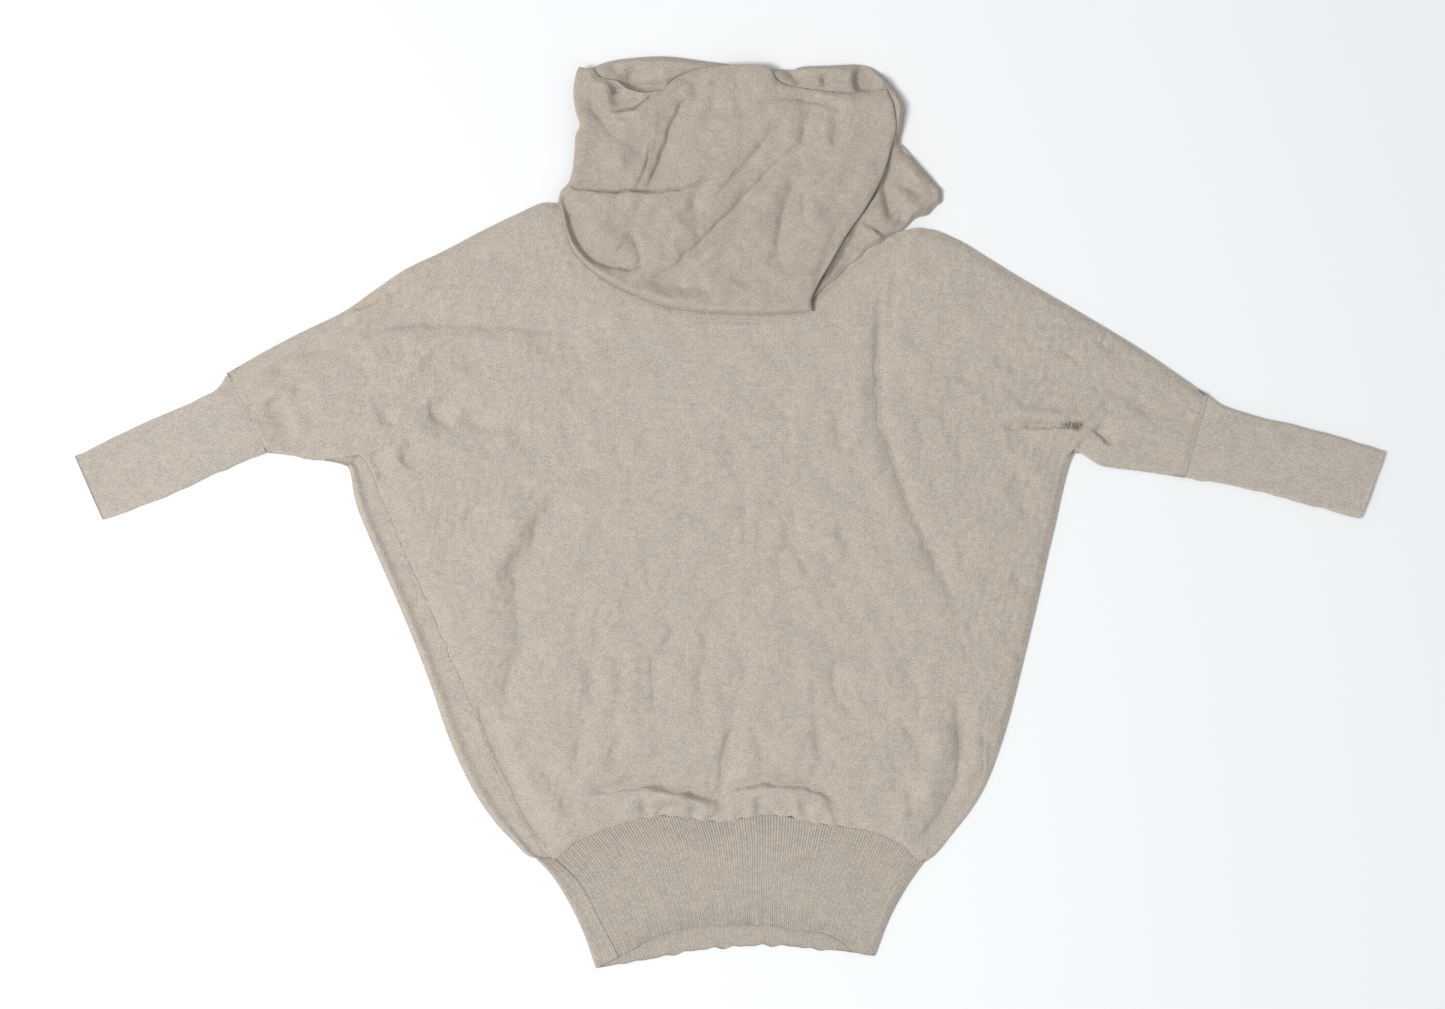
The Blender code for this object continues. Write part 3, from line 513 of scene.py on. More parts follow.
front_z -= 5.0 * smooth_step(tucked_in / 6)
front_z -= .35 * (1 - roll(from_seam / 1.2))
front_z = np.where(from_hem < 4, 4.7 + (front_z - 4.7) * roll(from_hem / 4), front_z)
front_z = np.where(from_cuff < 2, 4.9 + (front_z - 4.9) * roll(from_cuff / 2), front_z)
edge_thin = (CLOTH - .5) * (1 - smooth_step(np.minimum(from_hem, from_cuff) / 5))
front_panel = shell("front_panel", stack(front_xy, front_z), CLOTH, jersey, front_xy, inner=-edge_thin, coarse=4)
lay(front_panel, "front")

# Back panel
# The same jersey and cut as the front. It lies flat on the surface, and its
# left edge is rolled over onto the front, so the side seam shows there as a
# fine line from the underarm down through the hem band.
STRIP_LOW = 2.3


def folded_strip(edge, seam, wall, strip_low, columns, puff):
    """Surface of a wall's outside as it turns round a fold and runs back on
    itself to the seam: half a circle from the flat part, then a soft strip."""
    way = seam - edge
    width = np.linalg.norm(way, axis=1, keepdims=True)
    way = way / width
    radius = (strip_low + wall) / 2
    centre = edge + way * radius
    turn = np.linspace(-np.pi / 2, np.pi / 2, 9)[None, :, None]
    half = np.concatenate([centre[:, None] - way[:, None] * radius * np.cos(turn),
                           np.broadcast_to(radius + radius * np.sin(turn), (len(edge), 9, 1))], axis=2)
    share = np.linspace(0, 1, columns)[None, 1:, None]
    xy = centre[:, None] + (seam - way * .3 - centre)[:, None] * share
    z = (2 * radius + puff * np.exp(-((share[..., 0] - .15) / .17)**2)
         - .3 * (1 - roll((1 - share[..., 0]) * width / 1.2)))
    return np.concatenate([half, stack(xy, z)], axis=1)


strip_rows = slice(ARMPIT, HEM_LEFT + 1)
strip = folded_strip(outline_low[strip_rows], side_seam[strip_rows], 1.5, STRIP_LOW, 18, 2.8)
strip[:, 9:, 2] += .2 * ripple(strip[:, 9:, :2], 12, 40, 8)
flat_low = outline_low.copy()
flat_low[strip_rows] = strip[:, 0, :2]
back_xy = across_rows(flat_low, panel_high, 36)
back_edge = np.minimum.reduce([away_from(back_xy, p) for p in (top_left, bottom_left, top_right, bottom_right)])
back_z = (FOLDED_EDGE - .12) * (1 - roll(back_edge / 3.2))
back_z[ARMPIT:HEM_LEFT + 1, 0] = 0
flat_part = stack(back_xy, back_z)


def back_mesh(flat, turned, rows, thickness):
    """Closed wall of a flat grid and the strip that turns up from one of its
    edges, sharing the vertices where they meet."""
    flat_in = flat - normals(flat[:, ::-1])[:, ::-1] * thickness
    turned_in = turned - normals(turned) * thickness
    turned_in[:, 0] = flat_in[rows, 0]
    count = flat[..., 0].size
    low = np.arange(count).reshape(flat.shape[:2])
    high = low + count
    extra = np.arange(turned[:, 1:, 0].size).reshape(turned[:, 1:].shape[:2]) + 2 * count
    skin = np.concatenate([low[rows, :1], extra], axis=1)
    lining = np.concatenate([high[rows, :1], extra + extra.size], axis=1)
    first, last = rows.start, rows.stop - 1
    faces = [quads(low)[:, ::-1], quads(high), quads(skin), quads(lining)[:, ::-1],
             rim(skin[:, -1], lining[:, -1])[:, ::-1], rim(lining[0], skin[0]), rim(skin[-1], lining[-1]),
             rim(low[:, -1], high[:, -1]), rim(low[0], high[0]), rim(high[-1], low[-1]),
             rim(high[:first + 1, 0], low[:first + 1, 0]), rim(high[last:, 0], low[last:, 0])]
    points = np.concatenate([flat.reshape(-1, 3), flat_in.reshape(-1, 3),
                             turned[:, 1:].reshape(-1, 3), turned_in[:, 1:].reshape(-1, 3)])
    return points, faces


back_points, back_faces = back_mesh(flat_part, strip, strip_rows, CLOTH)
back_panel = piece("back_panel", back_points, back_faces, back_points[:, :2], jersey)
lay(back_panel, "back")

# Hem band
# A deep band in fine rib, knitted onto each panel and drawn in, so its ribs
# fan together towards the waist edge. The front half arches up at the bottom
# and shows the inside of the back half, and the side seam runs down its left.
HEM_RIBS = 132
RIB_COLUMNS = 6
RIB_PITCH = 2.65
HEM_ROWS = 46
HEM_TOP = 4.9
HEM_BASE_THICK = 1.5
HEM_UNDER = 2.5
HEM_OUTLINE_LEFT = [(-184, -328), (-169, -344), (-151, -373), (-138, -401), (-127, -432.5)]
HEM_SEAM_LEFT = [(-168, -327), (-143, -351), (-120, -393), (-106, -421)]
HEM_OUTLINE_RIGHT = [(185, -330), (165, -359), (150, -387), (137, -421)]
HEM_FRONT_BOTTOM = [(-106, -421), (-93, -415), (-78, -406), (-58, -398), (-36, -394), (0, -391), (40, -392),
                    (60, -397), (84, -399), (104, -407), (118, -417), (137, -421)]
HEM_BACK_BOTTOM = [(-127, -432.5), (-106, -429), (-60, -421), (-28, -415), (-2, -413), (27, -411), (60, -412),
                   (83, -415), (104, -416), (137, -421)]
HEM_WAVES = [
    Fold([(-100, -398), (-84, -388), (-60, -386)], 6, -.8, 0, 0),
    Fold([(-20, -384), (10, -381), (40, -384)], 7, .7, 0, 0),
    Fold([(70, -388), (92, -394), (112, -404)], 6, -.9, 0, 0),
    Fold([(84, -384), (104, -392), (124, -404)], 7, .7, 0, 0),
    Fold([(-52, -396), (-50, -388), (-52, -378)], 5, .6, 0, 0),
]
ribbed = heather_knit("heather_rib", (.566, .487, .404), (.368, .340, .310), (.0018, .0012), .0002)


def along(path, shares):
    """Points at the given shares of the length of a path of straight runs."""
    path = np.asarray(path, float)
    length = np.concatenate([[0], np.cumsum(np.linalg.norm(np.diff(path, axis=0), axis=1))])
    at = np.asarray(shares) * length[-1]
    return np.stack([np.interp(at, length, path[:, k]) for k in (0, 1)], axis=1)


def coons(low, high, left, right):
    """Grid that blends between four edge curves, less the corners' own blend."""
    u = np.concatenate([[0], np.cumsum(np.linalg.norm(np.diff(low, axis=0), axis=1))])
    v = np.concatenate([[0], np.cumsum(np.linalg.norm(np.diff(left, axis=0), axis=1))])
    u, v = (u / u[-1])[:, None, None], (v / v[-1])[None, :, None]
    sides = left[None] * (1 - u) + right[None] * u
    ends = low[:, None] * (1 - v) + high[:, None] * v
    corners = (low[0] * (1 - u) * (1 - v) + low[-1] * u * (1 - v)
               + high[0] * (1 - u) * v + high[-1] * u * v)
    return sides + ends - corners


def rib_wave(ribs, columns, start=0):
    """Rise across the ribs, 0 to 1: round tops with narrower grooves."""
    phase = (np.arange(start, ribs * columns + 1) / columns) % 1
    return 1 - (.5 + .5 * np.cos(2 * np.pi * phase))**1.5


def rib_depth(share):
    """How deep the ribs are from the top of the band (0) to its edge (1):
    open where the band is stretched at the top, closed up in the middle."""
    return .72 * np.exp(-(share / .34)**2) + .38 * np.exp(-((1 - share) / .13)**2) + .42


down = np.linspace(0, 1, HEM_ROWS)
rib_shares = np.linspace(0, 1, HEM_RIBS * RIB_COLUMNS + 1)
hem_high = along(hem_line + (0, HEM_UNDER), rib_shares)
front_low = along(through(HEM_FRONT_BOTTOM, 12), rib_shares)
front_low[:, 1] += .8 * np.sin(np.pi * rib_shares) * (np.sin(front_low[:, 0] * .36 + 2) + .6 * np.sin(front_low[:, 0] * .21))
front_left = along(through(HEM_SEAM_LEFT, 12), down[::-1])
front_right = along(through(HEM_OUTLINE_RIGHT, 12), down[::-1])
front_left[-1], front_right[-1] = hem_high[0], hem_high[-1]
front_left[0], front_right[0] = front_low[0], front_low[-1]
hem_xy = coons(front_low, hem_high, front_left, front_right)
hem_share = down[::-1][None]
from_side = away_from(hem_xy, front_left)
from_right = away_from(hem_xy, front_right)
from_bottom = away_from(hem_xy, front_low)
from_top = away_from(hem_xy, hem_high)
hem_z = HEM_TOP + .9 * np.sin(np.pi * hem_share) + .2 * ripple(hem_xy, 18, 60, 12)
hem_z += relief(hem_xy, HEM_WAVES, 1.6, 1.7, .9) + .6 * ripple(hem_xy * (1, .3), 9, 22, 13) * np.exp(-from_bottom / 16)
hem_z += .8 * np.exp(-(from_bottom / 3.5)**2)
hem_z = hem_z - .25 * (1 - roll(from_side / 1.2)) - .9 * (1 - roll(from_bottom / 1.8))
hem_z -= 1.4 * (1 - smooth_step(from_top / 4))
hem_z = 2.6 + (hem_z - 2.6) * (1 - np.clip(1 - from_right / 6, 0, 1)**1.6)
wave = rib_wave(HEM_RIBS, RIB_COLUMNS)[:, None]
hem_uv = np.stack(np.broadcast_arrays(rib_shares[:, None] * HEM_RIBS * RIB_PITCH, hem_share * 100), axis=-1)
hem_front_rib = shell("hem_front_rib", stack(hem_xy, hem_z), HEM_BASE_THICK, ribbed, hem_uv,
                      outer=(wave - 1) * rib_depth(hem_share), inner=.2 * (1 - wave) * rib_depth(hem_share))
lay(hem_front_rib, "hem_front")

# Back half of the hem band: flat below, rolled over at the left with the
# side strip, and its ribs show inside the arch of the front half.
hem_outline = along(through(HEM_OUTLINE_LEFT, 12), down)
hem_seam = along(through(HEM_SEAM_LEFT, 12), down)
STRIP_COLUMNS = 44
turned = folded_strip(hem_outline, hem_seam, 2.0, 2.9, STRIP_COLUMNS, .5)
flat_start = turned[:, 0, :2]
back_high = along(outline_low[HEM_LEFT:HEM_RIGHT + 1] - (0, .4), rib_shares)
back_low = along(through(HEM_BACK_BOTTOM, 12), rib_shares)
back_low[:, 1] += .8 * np.sin(np.pi * rib_shares) * (np.sin(back_low[:, 0] * .27) + .7 * np.sin(back_low[:, 0] * .41 + 1))
back_right = along(through(HEM_OUTLINE_RIGHT, 12), down)
back_high[0], back_low[0] = flat_start[0], flat_start[-1]
back_right[0], back_right[-1] = back_high[-1], back_low[-1]
hem_back_xy = coons(back_high, back_low, flat_start, back_right)
right_away = away_from(hem_back_xy, back_right)
hem_back_flat = stack(hem_back_xy, .42 + 1.9 * (1 - roll(right_away / 3.2)))
turned[:, :9, 2] += .42 * np.linspace(1, 0, 9)
hem_back_surface = np.concatenate([turned[:, :0:-1].swapaxes(0, 1), hem_back_flat], axis=0)
extra = STRIP_COLUMNS + 7
wave = rib_wave(HEM_RIBS, RIB_COLUMNS, -extra)[:, None]
back_share = down[None]
back_uv = np.stack(np.broadcast_arrays(np.arange(-extra, len(rib_shares))[:, None] * RIB_PITCH / RIB_COLUMNS,
                                       back_share * 100), axis=-1)
hem_back_rib = shell("hem_back_rib", hem_back_surface, HEM_BASE_THICK - .3, ribbed, back_uv,
                     outer=(wave - .4) * .55 * rib_depth(back_share), inner=.5 * wave * rib_depth(back_share))
lay(hem_back_rib, "hem_back")

# Cuffs
# Long cuffs in a fine, nearly closed rib, each a tube knitted onto the sleeve
# and pressed flat here, open at its end.
CUFF_RIBS = 24
CUFF_ROWS = 64
CUFF_HALF = 2.45
CUFF_WALL = 1.6
Cuff = namedtuple("Cuff", "name node low high")
CUFFS = [
    Cuff("left_cuff_rib", "left_cuff", [(-440, 57), (-484, 39), (-541, 13), (-595, -7)],
         [(-477, 132), (-487, 117), (-504, 108), (-560, 83), (-621.3, 53)]),
    Cuff("right_cuff_rib", "right_cuff", [(431, 33), (484, 24), (542, 9), (598, -6)],
         [(453, 111), (466, 102), (484, 95), (542, 81), (621.3, 58)]),
]
cuff_rib = heather_knit("heather_cuff", (.605, .520, .436), (.40, .370, .342), (.0016, .0012), .0002)


def cuff_surface(low, high, ribs):
    """Rings round a flattened tube: level on top, half rounds at the sides,
    level below. Returns the rings and, for each point, how far across."""
    count = ribs * 6
    top = np.linspace(0, 1, count + 1)
    side = np.linspace(np.pi / 2, -np.pi / 2, 9)[1:-1]
    cross = np.concatenate([top, np.full(7, 1.0), top[::-6], np.zeros(7)])
    bulge = np.concatenate([np.zeros(count + 1), np.cos(side), np.zeros(ribs + 1), -np.cos(side)])
    rise = np.concatenate([np.ones(count + 1), np.sin(side), -np.ones(ribs + 1), -np.sin(side)])
    way = high - low
    width = np.linalg.norm(way, axis=1, keepdims=True)
    way = way / width
    near, far = low + way * CUFF_HALF, high - way * CUFF_HALF
    xy = (near[:, None] + (far - near)[:, None] * cross[None, :, None]
          + way[:, None] * CUFF_HALF * bulge[None, :, None])
    return xy, CUFF_HALF * (1 + rise), cross, rise


for cuff in CUFFS:
    shares = np.linspace(0, 1, CUFF_ROWS)
    low, high = along(through(cuff.low, 12), shares), along(through(cuff.high, 12), shares)
    inward = np.array([1.0, .35]) if cuff.node == "left_cuff" else np.array([-1.0, .2])
    low[1:, 1] += .5 * ripple(low[1:], 16, 50, 23)
    high[1:, 1] += .5 * ripple(high[1:], 16, 50, 24)
    low[0], high[0] = low[0] + inward * 3, high[0] + inward * 3 + (0, -3)
    xy, z, cross, rise = cuff_surface(low, high, CUFF_RIBS)
    top = np.clip(rise, 0, 1)[None]
    soft = .25 * ripple(xy, 20, 60, 21) + .5 * np.sin(np.pi * cross)[None]
    ends = .12 + .30 * np.exp(-(shares / .12)**2) + .22 * np.exp(-((1 - shares) / .08)**2)
    ribs = 1 - (.5 + .5 * np.cos(2 * np.pi * cross * CUFF_RIBS))**2
    height = z[None] + top * (soft + (ribs - 1)[None] * ends[:, None])
    under = 1 - smooth_step(shares / .03)[:, None]
    height = height * (1 - under * .5) + under * 1.35
    if cuff.node == "left_cuff":
        low_first = stack(xy, height)
    else:
        low_first = stack(xy, height)[:, ::-1]
        cross, rise = cross[::-1], rise[::-1]
    n = normals(low_first, around=True)
    if n[CUFF_ROWS // 2, np.argmax(rise == rise.max()) + 20, 2] < 0:
        low_first, n = low_first[:, ::-1], -n[:, ::-1]
        cross = cross[::-1]
    inside = low_first - n * CUFF_WALL
    index = np.arange(low_first[..., 0].size).reshape(low_first.shape[:2])
    ring = np.concatenate([index, index[:, :1]], axis=1)
    core = ring + index.size
    faces = [quads(ring), quads(core)[:, ::-1], rim(core[0], ring[0]), rim(ring[-1], core[-1])]
    span = np.linalg.norm(high - low, axis=1).mean()
    uv = np.stack(np.broadcast_arrays(cross[None] * span, shares[:, None] * 180), axis=-1).reshape(-1, 2)
    tube = piece(cuff.name, np.concatenate([low_first.reshape(-1, 3), inside.reshape(-1, 3)]), faces,
                 np.concatenate([uv, uv]), cuff_rib)
    lay(tube, cuff.node)

# Cowl, front layer
# The collar is a wide tube of the same jersey. Its front layer is pulled up
# and heaped on the rest: a flap tucked over a crease at the left, a pocket
# above a rolled band, and long soft folds that run down from the right.
COWL_TOP = 15.5
COWL_ROLL = 6
COWL_DROP = 6.5
COWL_DEPTH = 1.9
COWL_CLOTH = 1.4
cowl_jersey = heather_knit("cowl_jersey", (.565, .475, .386), (.371, .336, .302), (.0015, .0012), .00022)
COWL_LEFT = [(-163, 293), (-160, 304), (-153, 312), (-149, 325), (-147, 344), (-146, 356), (-142, 366),
             (-146, 380), (-148, 397), (-146, 412), (-143, 421)]
COWL_FRONT_TOP = [(-143, 421), (-131, 419), (-122, 411), (-108, 408), (-96, 400), (-82, 397), (-67, 398),
                  (-52, 410), (-26, 420), (2, 423), (26, 423), (38, 419), (44, 409), (53, 404), (81, 399),
                  (117, 396), (148, 400)]
COWL_FRONT_RIGHT = [(78, 190), (77, 200), (82, 213), (95, 236), (112, 265), (129, 289), (146, 323),
                    (153, 347), (157, 365), (155, 382), (148, 400)]
COWL_FOLDS = [
    Fold([(-156, 309), (-140, 304), (-113, 301), (-77, 301), (-45, 304), (-26, 311), (-12, 317)], 15, 2.6, -1, 2.5),
    Fold([(-41, 394), (-48, 386), (-56, 368), (-64, 346), (-72, 326), (-80, 303)], 5, -2.8, 0, 1.6),
    Fold([(-76, 362), (-79, 340), (-82, 328), (-92, 303)], 4, -1.8, 0, .7),
    Fold([(-70, 372), (-76, 345), (-84, 315)], 4, 1.4, 0, 0),
    Fold([(-100, 372), (-104, 345), (-108, 318)], 14, 1.8, 0, 0),
    Fold([(76, 362), (61, 348), (43, 333), (25, 315), (10, 299), (-7, 280), (-27, 260), (-49, 241), (-67, 226), (-84, 222)],
         8, -3.6, 0, .8),
    Fold([(48, 374), (32, 354), (16, 336), (-2, 315), (-16, 298)], 6, -2.3, 0, .4),
    Fold([(66, 332), (40, 308), (18, 280), (-10, 254), (-44, 230)], 10, 2.2, 0, 0),
    Fold([(55, 322), (53, 306), (47, 284), (42, 262), (34, 228)], 6, -1.9, 0, .2),
    Fold([(64, 304), (66, 288), (67, 268)], 3.5, -1.3, 0, 0),
    Fold([(82, 300), (80, 270), (66, 236)], 11, 1.6, 0, 0),
    Fold([(-162, 300), (-157, 276), (-149, 257), (-138, 243), (-122, 234), (-104, 230), (-92, 228)], 5, -5.4, 0, 1.5),
    Fold([(-156, 284), (-149, 264), (-138, 249), (-124, 240)], 4, -2.0, 0, 0),
    Fold([(-98, 228), (-86, 231), (-82, 239), (-86, 252), (-94, 268)], 4, -2.6, 0, .9),
    Fold([(-130, 284), (-120, 262), (-104, 250)], 16, 2.2, 0, 0),
    Fold([(-164, 276), (-156, 248), (-138, 228), (-110, 214), (-70, 204), (-20, 199)], 6, 2.2, 0, 0),
    Fold([(-86, 219), (-60, 210), (-20, 208)], 6, -1.8, 0, 0),
    Fold([(18, 387), (44, 389), (70, 387), (92, 382), (106, 374)], 4, -2.2, 0, 0),
    Fold([(20, 400), (60, 398), (104, 391), (140, 390)], 7, 1.4, 0, 0),
    Fold([(72, 384), (70, 370), (60, 352)], 5, -2.0, 0, 0),
    Fold([(96, 378), (95, 364), (92, 350)], 5, -1.4, 0, 0),
    Fold([(-138, 392), (-130, 374), (-120, 362), (-108, 350)], 5, -1.8, 0, 0),
    Fold([(-16, 228), (8, 214), (42, 217)], 7, -1.4, 0, 0),
    Fold([(-40, 304), (-38, 291), (-50, 275)], 5, -1.8, 0, 0),
    Fold([(-56, 246), (-44, 262), (-30, 276)], 8, 1.0, 0, 0),
    Fold([(-44, 414), (-56, 405), (-67, 396), (-78, 386), (-92, 379), (-112, 377)], 13, 2.2, 1, 3.2),
    Fold([(-114, 384), (-96, 388), (-80, 394)], 6, -3.2, 0, 0),
    Fold([(-112, 394), (-102, 398), (-94, 400)], 3.5, -3.0, 0, 1.5),
    Fold([(-136, 410), (-122, 404), (-112, 402)], 5, 1.4, 0, 0),
    Fold([(-16, 414), (-18, 396), (-22, 376)], 5, -1.2, 0, 0),
    Fold([(2, 416), (4, 396), (2, 372)], 6, -.9, 0, 0),
    Fold([(-34, 408), (-38, 390), (-40, 372)], 5, -1.1, 0, 0),
    Fold([(134, 354), (126, 316), (104, 270), (88, 228)], 11, 1.6, 0, 0),
    Fold([(116, 332), (104, 286), (84, 240), (76, 206)], 6, -1.5, 0, 0),
    Fold([(100, 262), (92, 240), (84, 214)], 4, -1.4, 0, 0),
    Fold([(118, 380), (120, 350), (112, 320)], 9, -1.2, 0, 0),
]


def edged(length, step):
    """Shares along an edge: close steps for the roll at both ends, even between."""
    near = np.array([0, .4, 1, 1.8, 2.8, 4, 5.5, 7.2, 9]) / length
    inner = np.linspace(near[-1], 1 - near[-1], int(length / step) // 2 * 2 + 1)[1:-1]
    return np.concatenate([near, inner, 1 - near[::-1]])


def inside_loop(xy, loop):
    """True where a point lies inside a closed loop, by counting crossings."""
    x, y = xy[..., 0], xy[..., 1]
    odd = np.zeros(x.shape, bool)
    for a, b in zip(loop, np.roll(loop, -1, axis=0)):
        if a[1] != b[1]:
            spans = (a[1] > y) != (b[1] > y)
            odd ^= spans & (x < a[0] + (y - a[1]) * (b[0] - a[0]) / (b[1] - a[1]))
    return odd


def smooth_along(points, shares):
    """Points at the given shares of a smooth curve's length."""
    return along(through(points, 12), shares)


neck_edge = np.vstack([outline_high[NECK_LEFT:COWL_CORNER + 1], [COWL_FRONT_RIGHT[0]]])
wide, tall = edged(300, 1.1), edged(225, 1.1)
cowl_xy = coons(along(neck_edge, wide), smooth_along(COWL_FRONT_TOP, wide),
                smooth_along(COWL_LEFT, tall), smooth_along(COWL_FRONT_RIGHT, tall))
cowl_border = np.concatenate([cowl_xy[:, 0], cowl_xy[-1, 1:], cowl_xy[-2::-1, -1], cowl_xy[0, -2::-1]])
from_border = away_from(cowl_xy, cowl_border)
cowl_crumples = scattered(16, (-40, 225), (120, 380), (30, 80), (28, 16), 55)
cowl_lift = COWL_DEPTH * relief(cowl_xy, COWL_FOLDS + cowl_crumples, 1.5, 1.7, .9) + .6 * ripple(cowl_xy, 16, 50, 31)
cowl_drop = COWL_DROP - np.maximum(4 * smooth_step((cowl_xy[..., 1] - 330) / 40),
                                   3.4 * smooth_step((cowl_xy[..., 0] - 66) / 30))
cowl_z = (COWL_TOP + cowl_lift * smooth_step(from_border / 6) + .1 * ripple(cowl_xy, 5, 12, 32)
          - cowl_drop * (1 - roll(from_border / COWL_ROLL)))
cowl_z = soft_floor(cowl_z, 5.2)
cowl_uv = np.stack(np.meshgrid(wide * 300, tall * 225, indexing="ij"), axis=-1)
cowl_front_layer = shell("cowl_front_layer", stack(cowl_xy, cowl_z), COWL_CLOTH, cowl_jersey, cowl_uv, coarse=2)
lay(cowl_front_layer, "cowl_front")

# Cowl, rear layers
# What shows of the tube behind its front layer: the inside of the back above
# the mouth, and the folded side at the right, down to the neck seam. The
# layers hidden below share this one rounded form, grooved round its rim.
REAR_TOP = 9.6
REAR_EDGE = 3.4
REAR_ROLL = 5
REAR_SINK = 3.2
COWL_SIDE = [(187, 283), (194, 291), (200, 296), (200, 304), (195, 311), (180, 328), (165, 345), (160, 351),
             (163, 366), (165, 383), (160, 395), (153, 405)]
COWL_REAR_TOP = [(-134, 417), (-124, 424), (-104, 429), (-66, 431.7), (-24, 427), (2, 424), (39, 420),
                 (57, 419), (69, 422), (93, 423), (117, 424), (130, 422), (145, 413), (153, 405)]
COWL_REAR_LEFT = [(-156, 292), (-149, 312), (-143, 344), (-138, 366), (-142, 388), (-142, 404), (-134, 417)]
REAR_FOLDS = [
    Fold([(-104, 410), (-90, 408), (-72, 410), (-57, 412), (-41, 415)], 4, 2.0, 0, 0),
    Fold([(-108, 405), (-94, 401), (-77, 399), (-60, 402)], 6, -5.0, 0, 0),
    Fold([(-118, 420), (-106, 414), (-92, 408)], 4, -1.6, 0, 0),
    Fold([(-108, 421), (-70, 422), (-30, 421)], 7, 1.2, 0, 0),
    Fold([(119, 424), (122, 414), (124, 404), (124, 394)], 6, -2.5, 0, 0),
    Fold([(127, 424), (130, 414), (131, 404)], 4, -1.0, 0, 0),
    Fold([(140, 418), (143, 408), (144, 398)], 5, 1.6, 0, 0),
    Fold([(84, 414), (85, 408), (86, 402)], 2.5, -2.6, 0, 0),
    Fold([(50, 420), (56, 412), (66, 404)], 5, -4.0, 0, 0),
    Fold([(66, 420), (90, 421), (110, 420)], 5, 1.2, 0, 0),
    Fold([(156, 400), (162, 386), (158, 368), (157, 356)], 3, 1.4, 0, 0),
    Fold([(152, 352), (160, 346), (170, 336)], 6, -5.0, 0, 0),
    Fold([(134, 338), (139, 322), (142, 308), (147, 292), (150, 280)], 4.5, -5.0, 0, 0),
    Fold([(122, 276), (136, 266), (152, 260), (174, 264), (190, 274)], 5, 3.4, -1, 1.6),
    Fold([(146, 284), (158, 272), (172, 272)], 6, -2.6, 0, 0),
    Fold([(124, 280), (112, 262), (100, 242), (90, 222), (82, 206)], 5, -5.0, 0, 0),
    Fold([(132, 252), (126, 242), (114, 236)], 4, -2.0, 0, 0),
    Fold([(150, 314), (166, 304), (184, 300), (198, 300)], 5, -2.6, 0, 0),
    Fold([(160, 332), (174, 318), (190, 304)], 6, 2.0, 0, 0),
    Fold([(158, 296), (170, 290), (184, 284)], 6, 1.8, 0, 0),
    Fold([(100, 214), (112, 230), (128, 240), (150, 247), (176, 262)], 4.5, 2.2, 0, 0),
]

neck_side = outline_high[COWL_CORNER:NECK_RIGHT + 1]
neck_side = neck_side + upward[COWL_CORNER:NECK_RIGHT + 1] * (.6 + .9 * np.sin(neck_side[:, :1] * .3))
neck_low = outline_high[NECK_LEFT:COWL_CORNER] + upward[NECK_LEFT:COWL_CORNER] * 5.5
neck_low[:6] = np.linspace(COWL_REAR_LEFT[0], neck_low[6], 7)[:6]
rear_wide, rear_tall = edged(370, 1.9), edged(150, 1.7)
rear_xy = coons(along(np.vstack([neck_low, neck_side]), rear_wide), smooth_along(COWL_REAR_TOP, rear_wide),
                smooth_along(COWL_REAR_LEFT, rear_tall), smooth_along(COWL_SIDE, rear_tall))
rear_border = np.concatenate([rear_xy[:, 0], rear_xy[-1, 1:], rear_xy[-2::-1, -1], rear_xy[0, -2:0:-1]])
rear_loop = np.vstack([rear_border, rear_border[:1]])
from_rim = away_from(rear_xy, rear_loop)
from_front = away_from(rear_xy, cowl_border)
covered = inside_loop(rear_xy, cowl_border)
upper = smooth_step((rear_xy[..., 1] - 330) / 40)
shown = REAR_TOP + 1.6 * upper + 2.1 * relief(rear_xy, REAR_FOLDS, 1.5, 1.7, .7) + .3 * ripple(rear_xy, 14, 45, 41)
mouth = ((rear_xy[..., 0] - 125) / 8.2)**2 + ((rear_xy[..., 1] - 409) / 12)**2
shown -= REAR_EDGE + 11 * np.exp(-mouth**2)
BESIDE = ((192, 206, 216, 236, 246, 258, 266, 280, 292, 306, 322, 334, 348, 365, 400),
          (5.5, 4, 1, .5, 2.5, 5.5, 2.5, 6, 5, 2, 2.4, 5, 7, 8.6, 9))
SINK = ((250, 266, 280, 292, 306, 332, 345), (5.5, 3.5, 2.2, 2.2, 4.5, 3.5, 2.4))
beside = np.interp(rear_xy[..., 1], *BESIDE) - 6.5 * np.exp(-((rear_xy[..., 0] + 76) / 22)**2) * upper
sink = np.interp(rear_xy[..., 1], *SINK)
rear_z = np.where(covered, beside * np.exp(-from_front / 2.5), beside + (shown - beside) * (1 - np.exp(-from_front / sink)))
rim_height = 4.6 * smooth_step(1.4 - away_from(rear_xy, neck_side[:-8]) / 8)
rear_z = np.maximum(REAR_EDGE + rim_height + (rear_z - rim_height)
                    * (1 - np.clip(1 - from_rim / REAR_ROLL, 0, 1)**1.8), .9)


def moved_out(loop, out):
    """A closed loop moved along its own normals."""
    ahead = np.roll(loop, -1, axis=0) - np.roll(loop, 1, axis=0)
    side = np.stack([ahead[:, 1], -ahead[:, 0]], axis=1)
    return loop + side / np.maximum(np.linalg.norm(side, axis=1, keepdims=True), 1e-9) * out


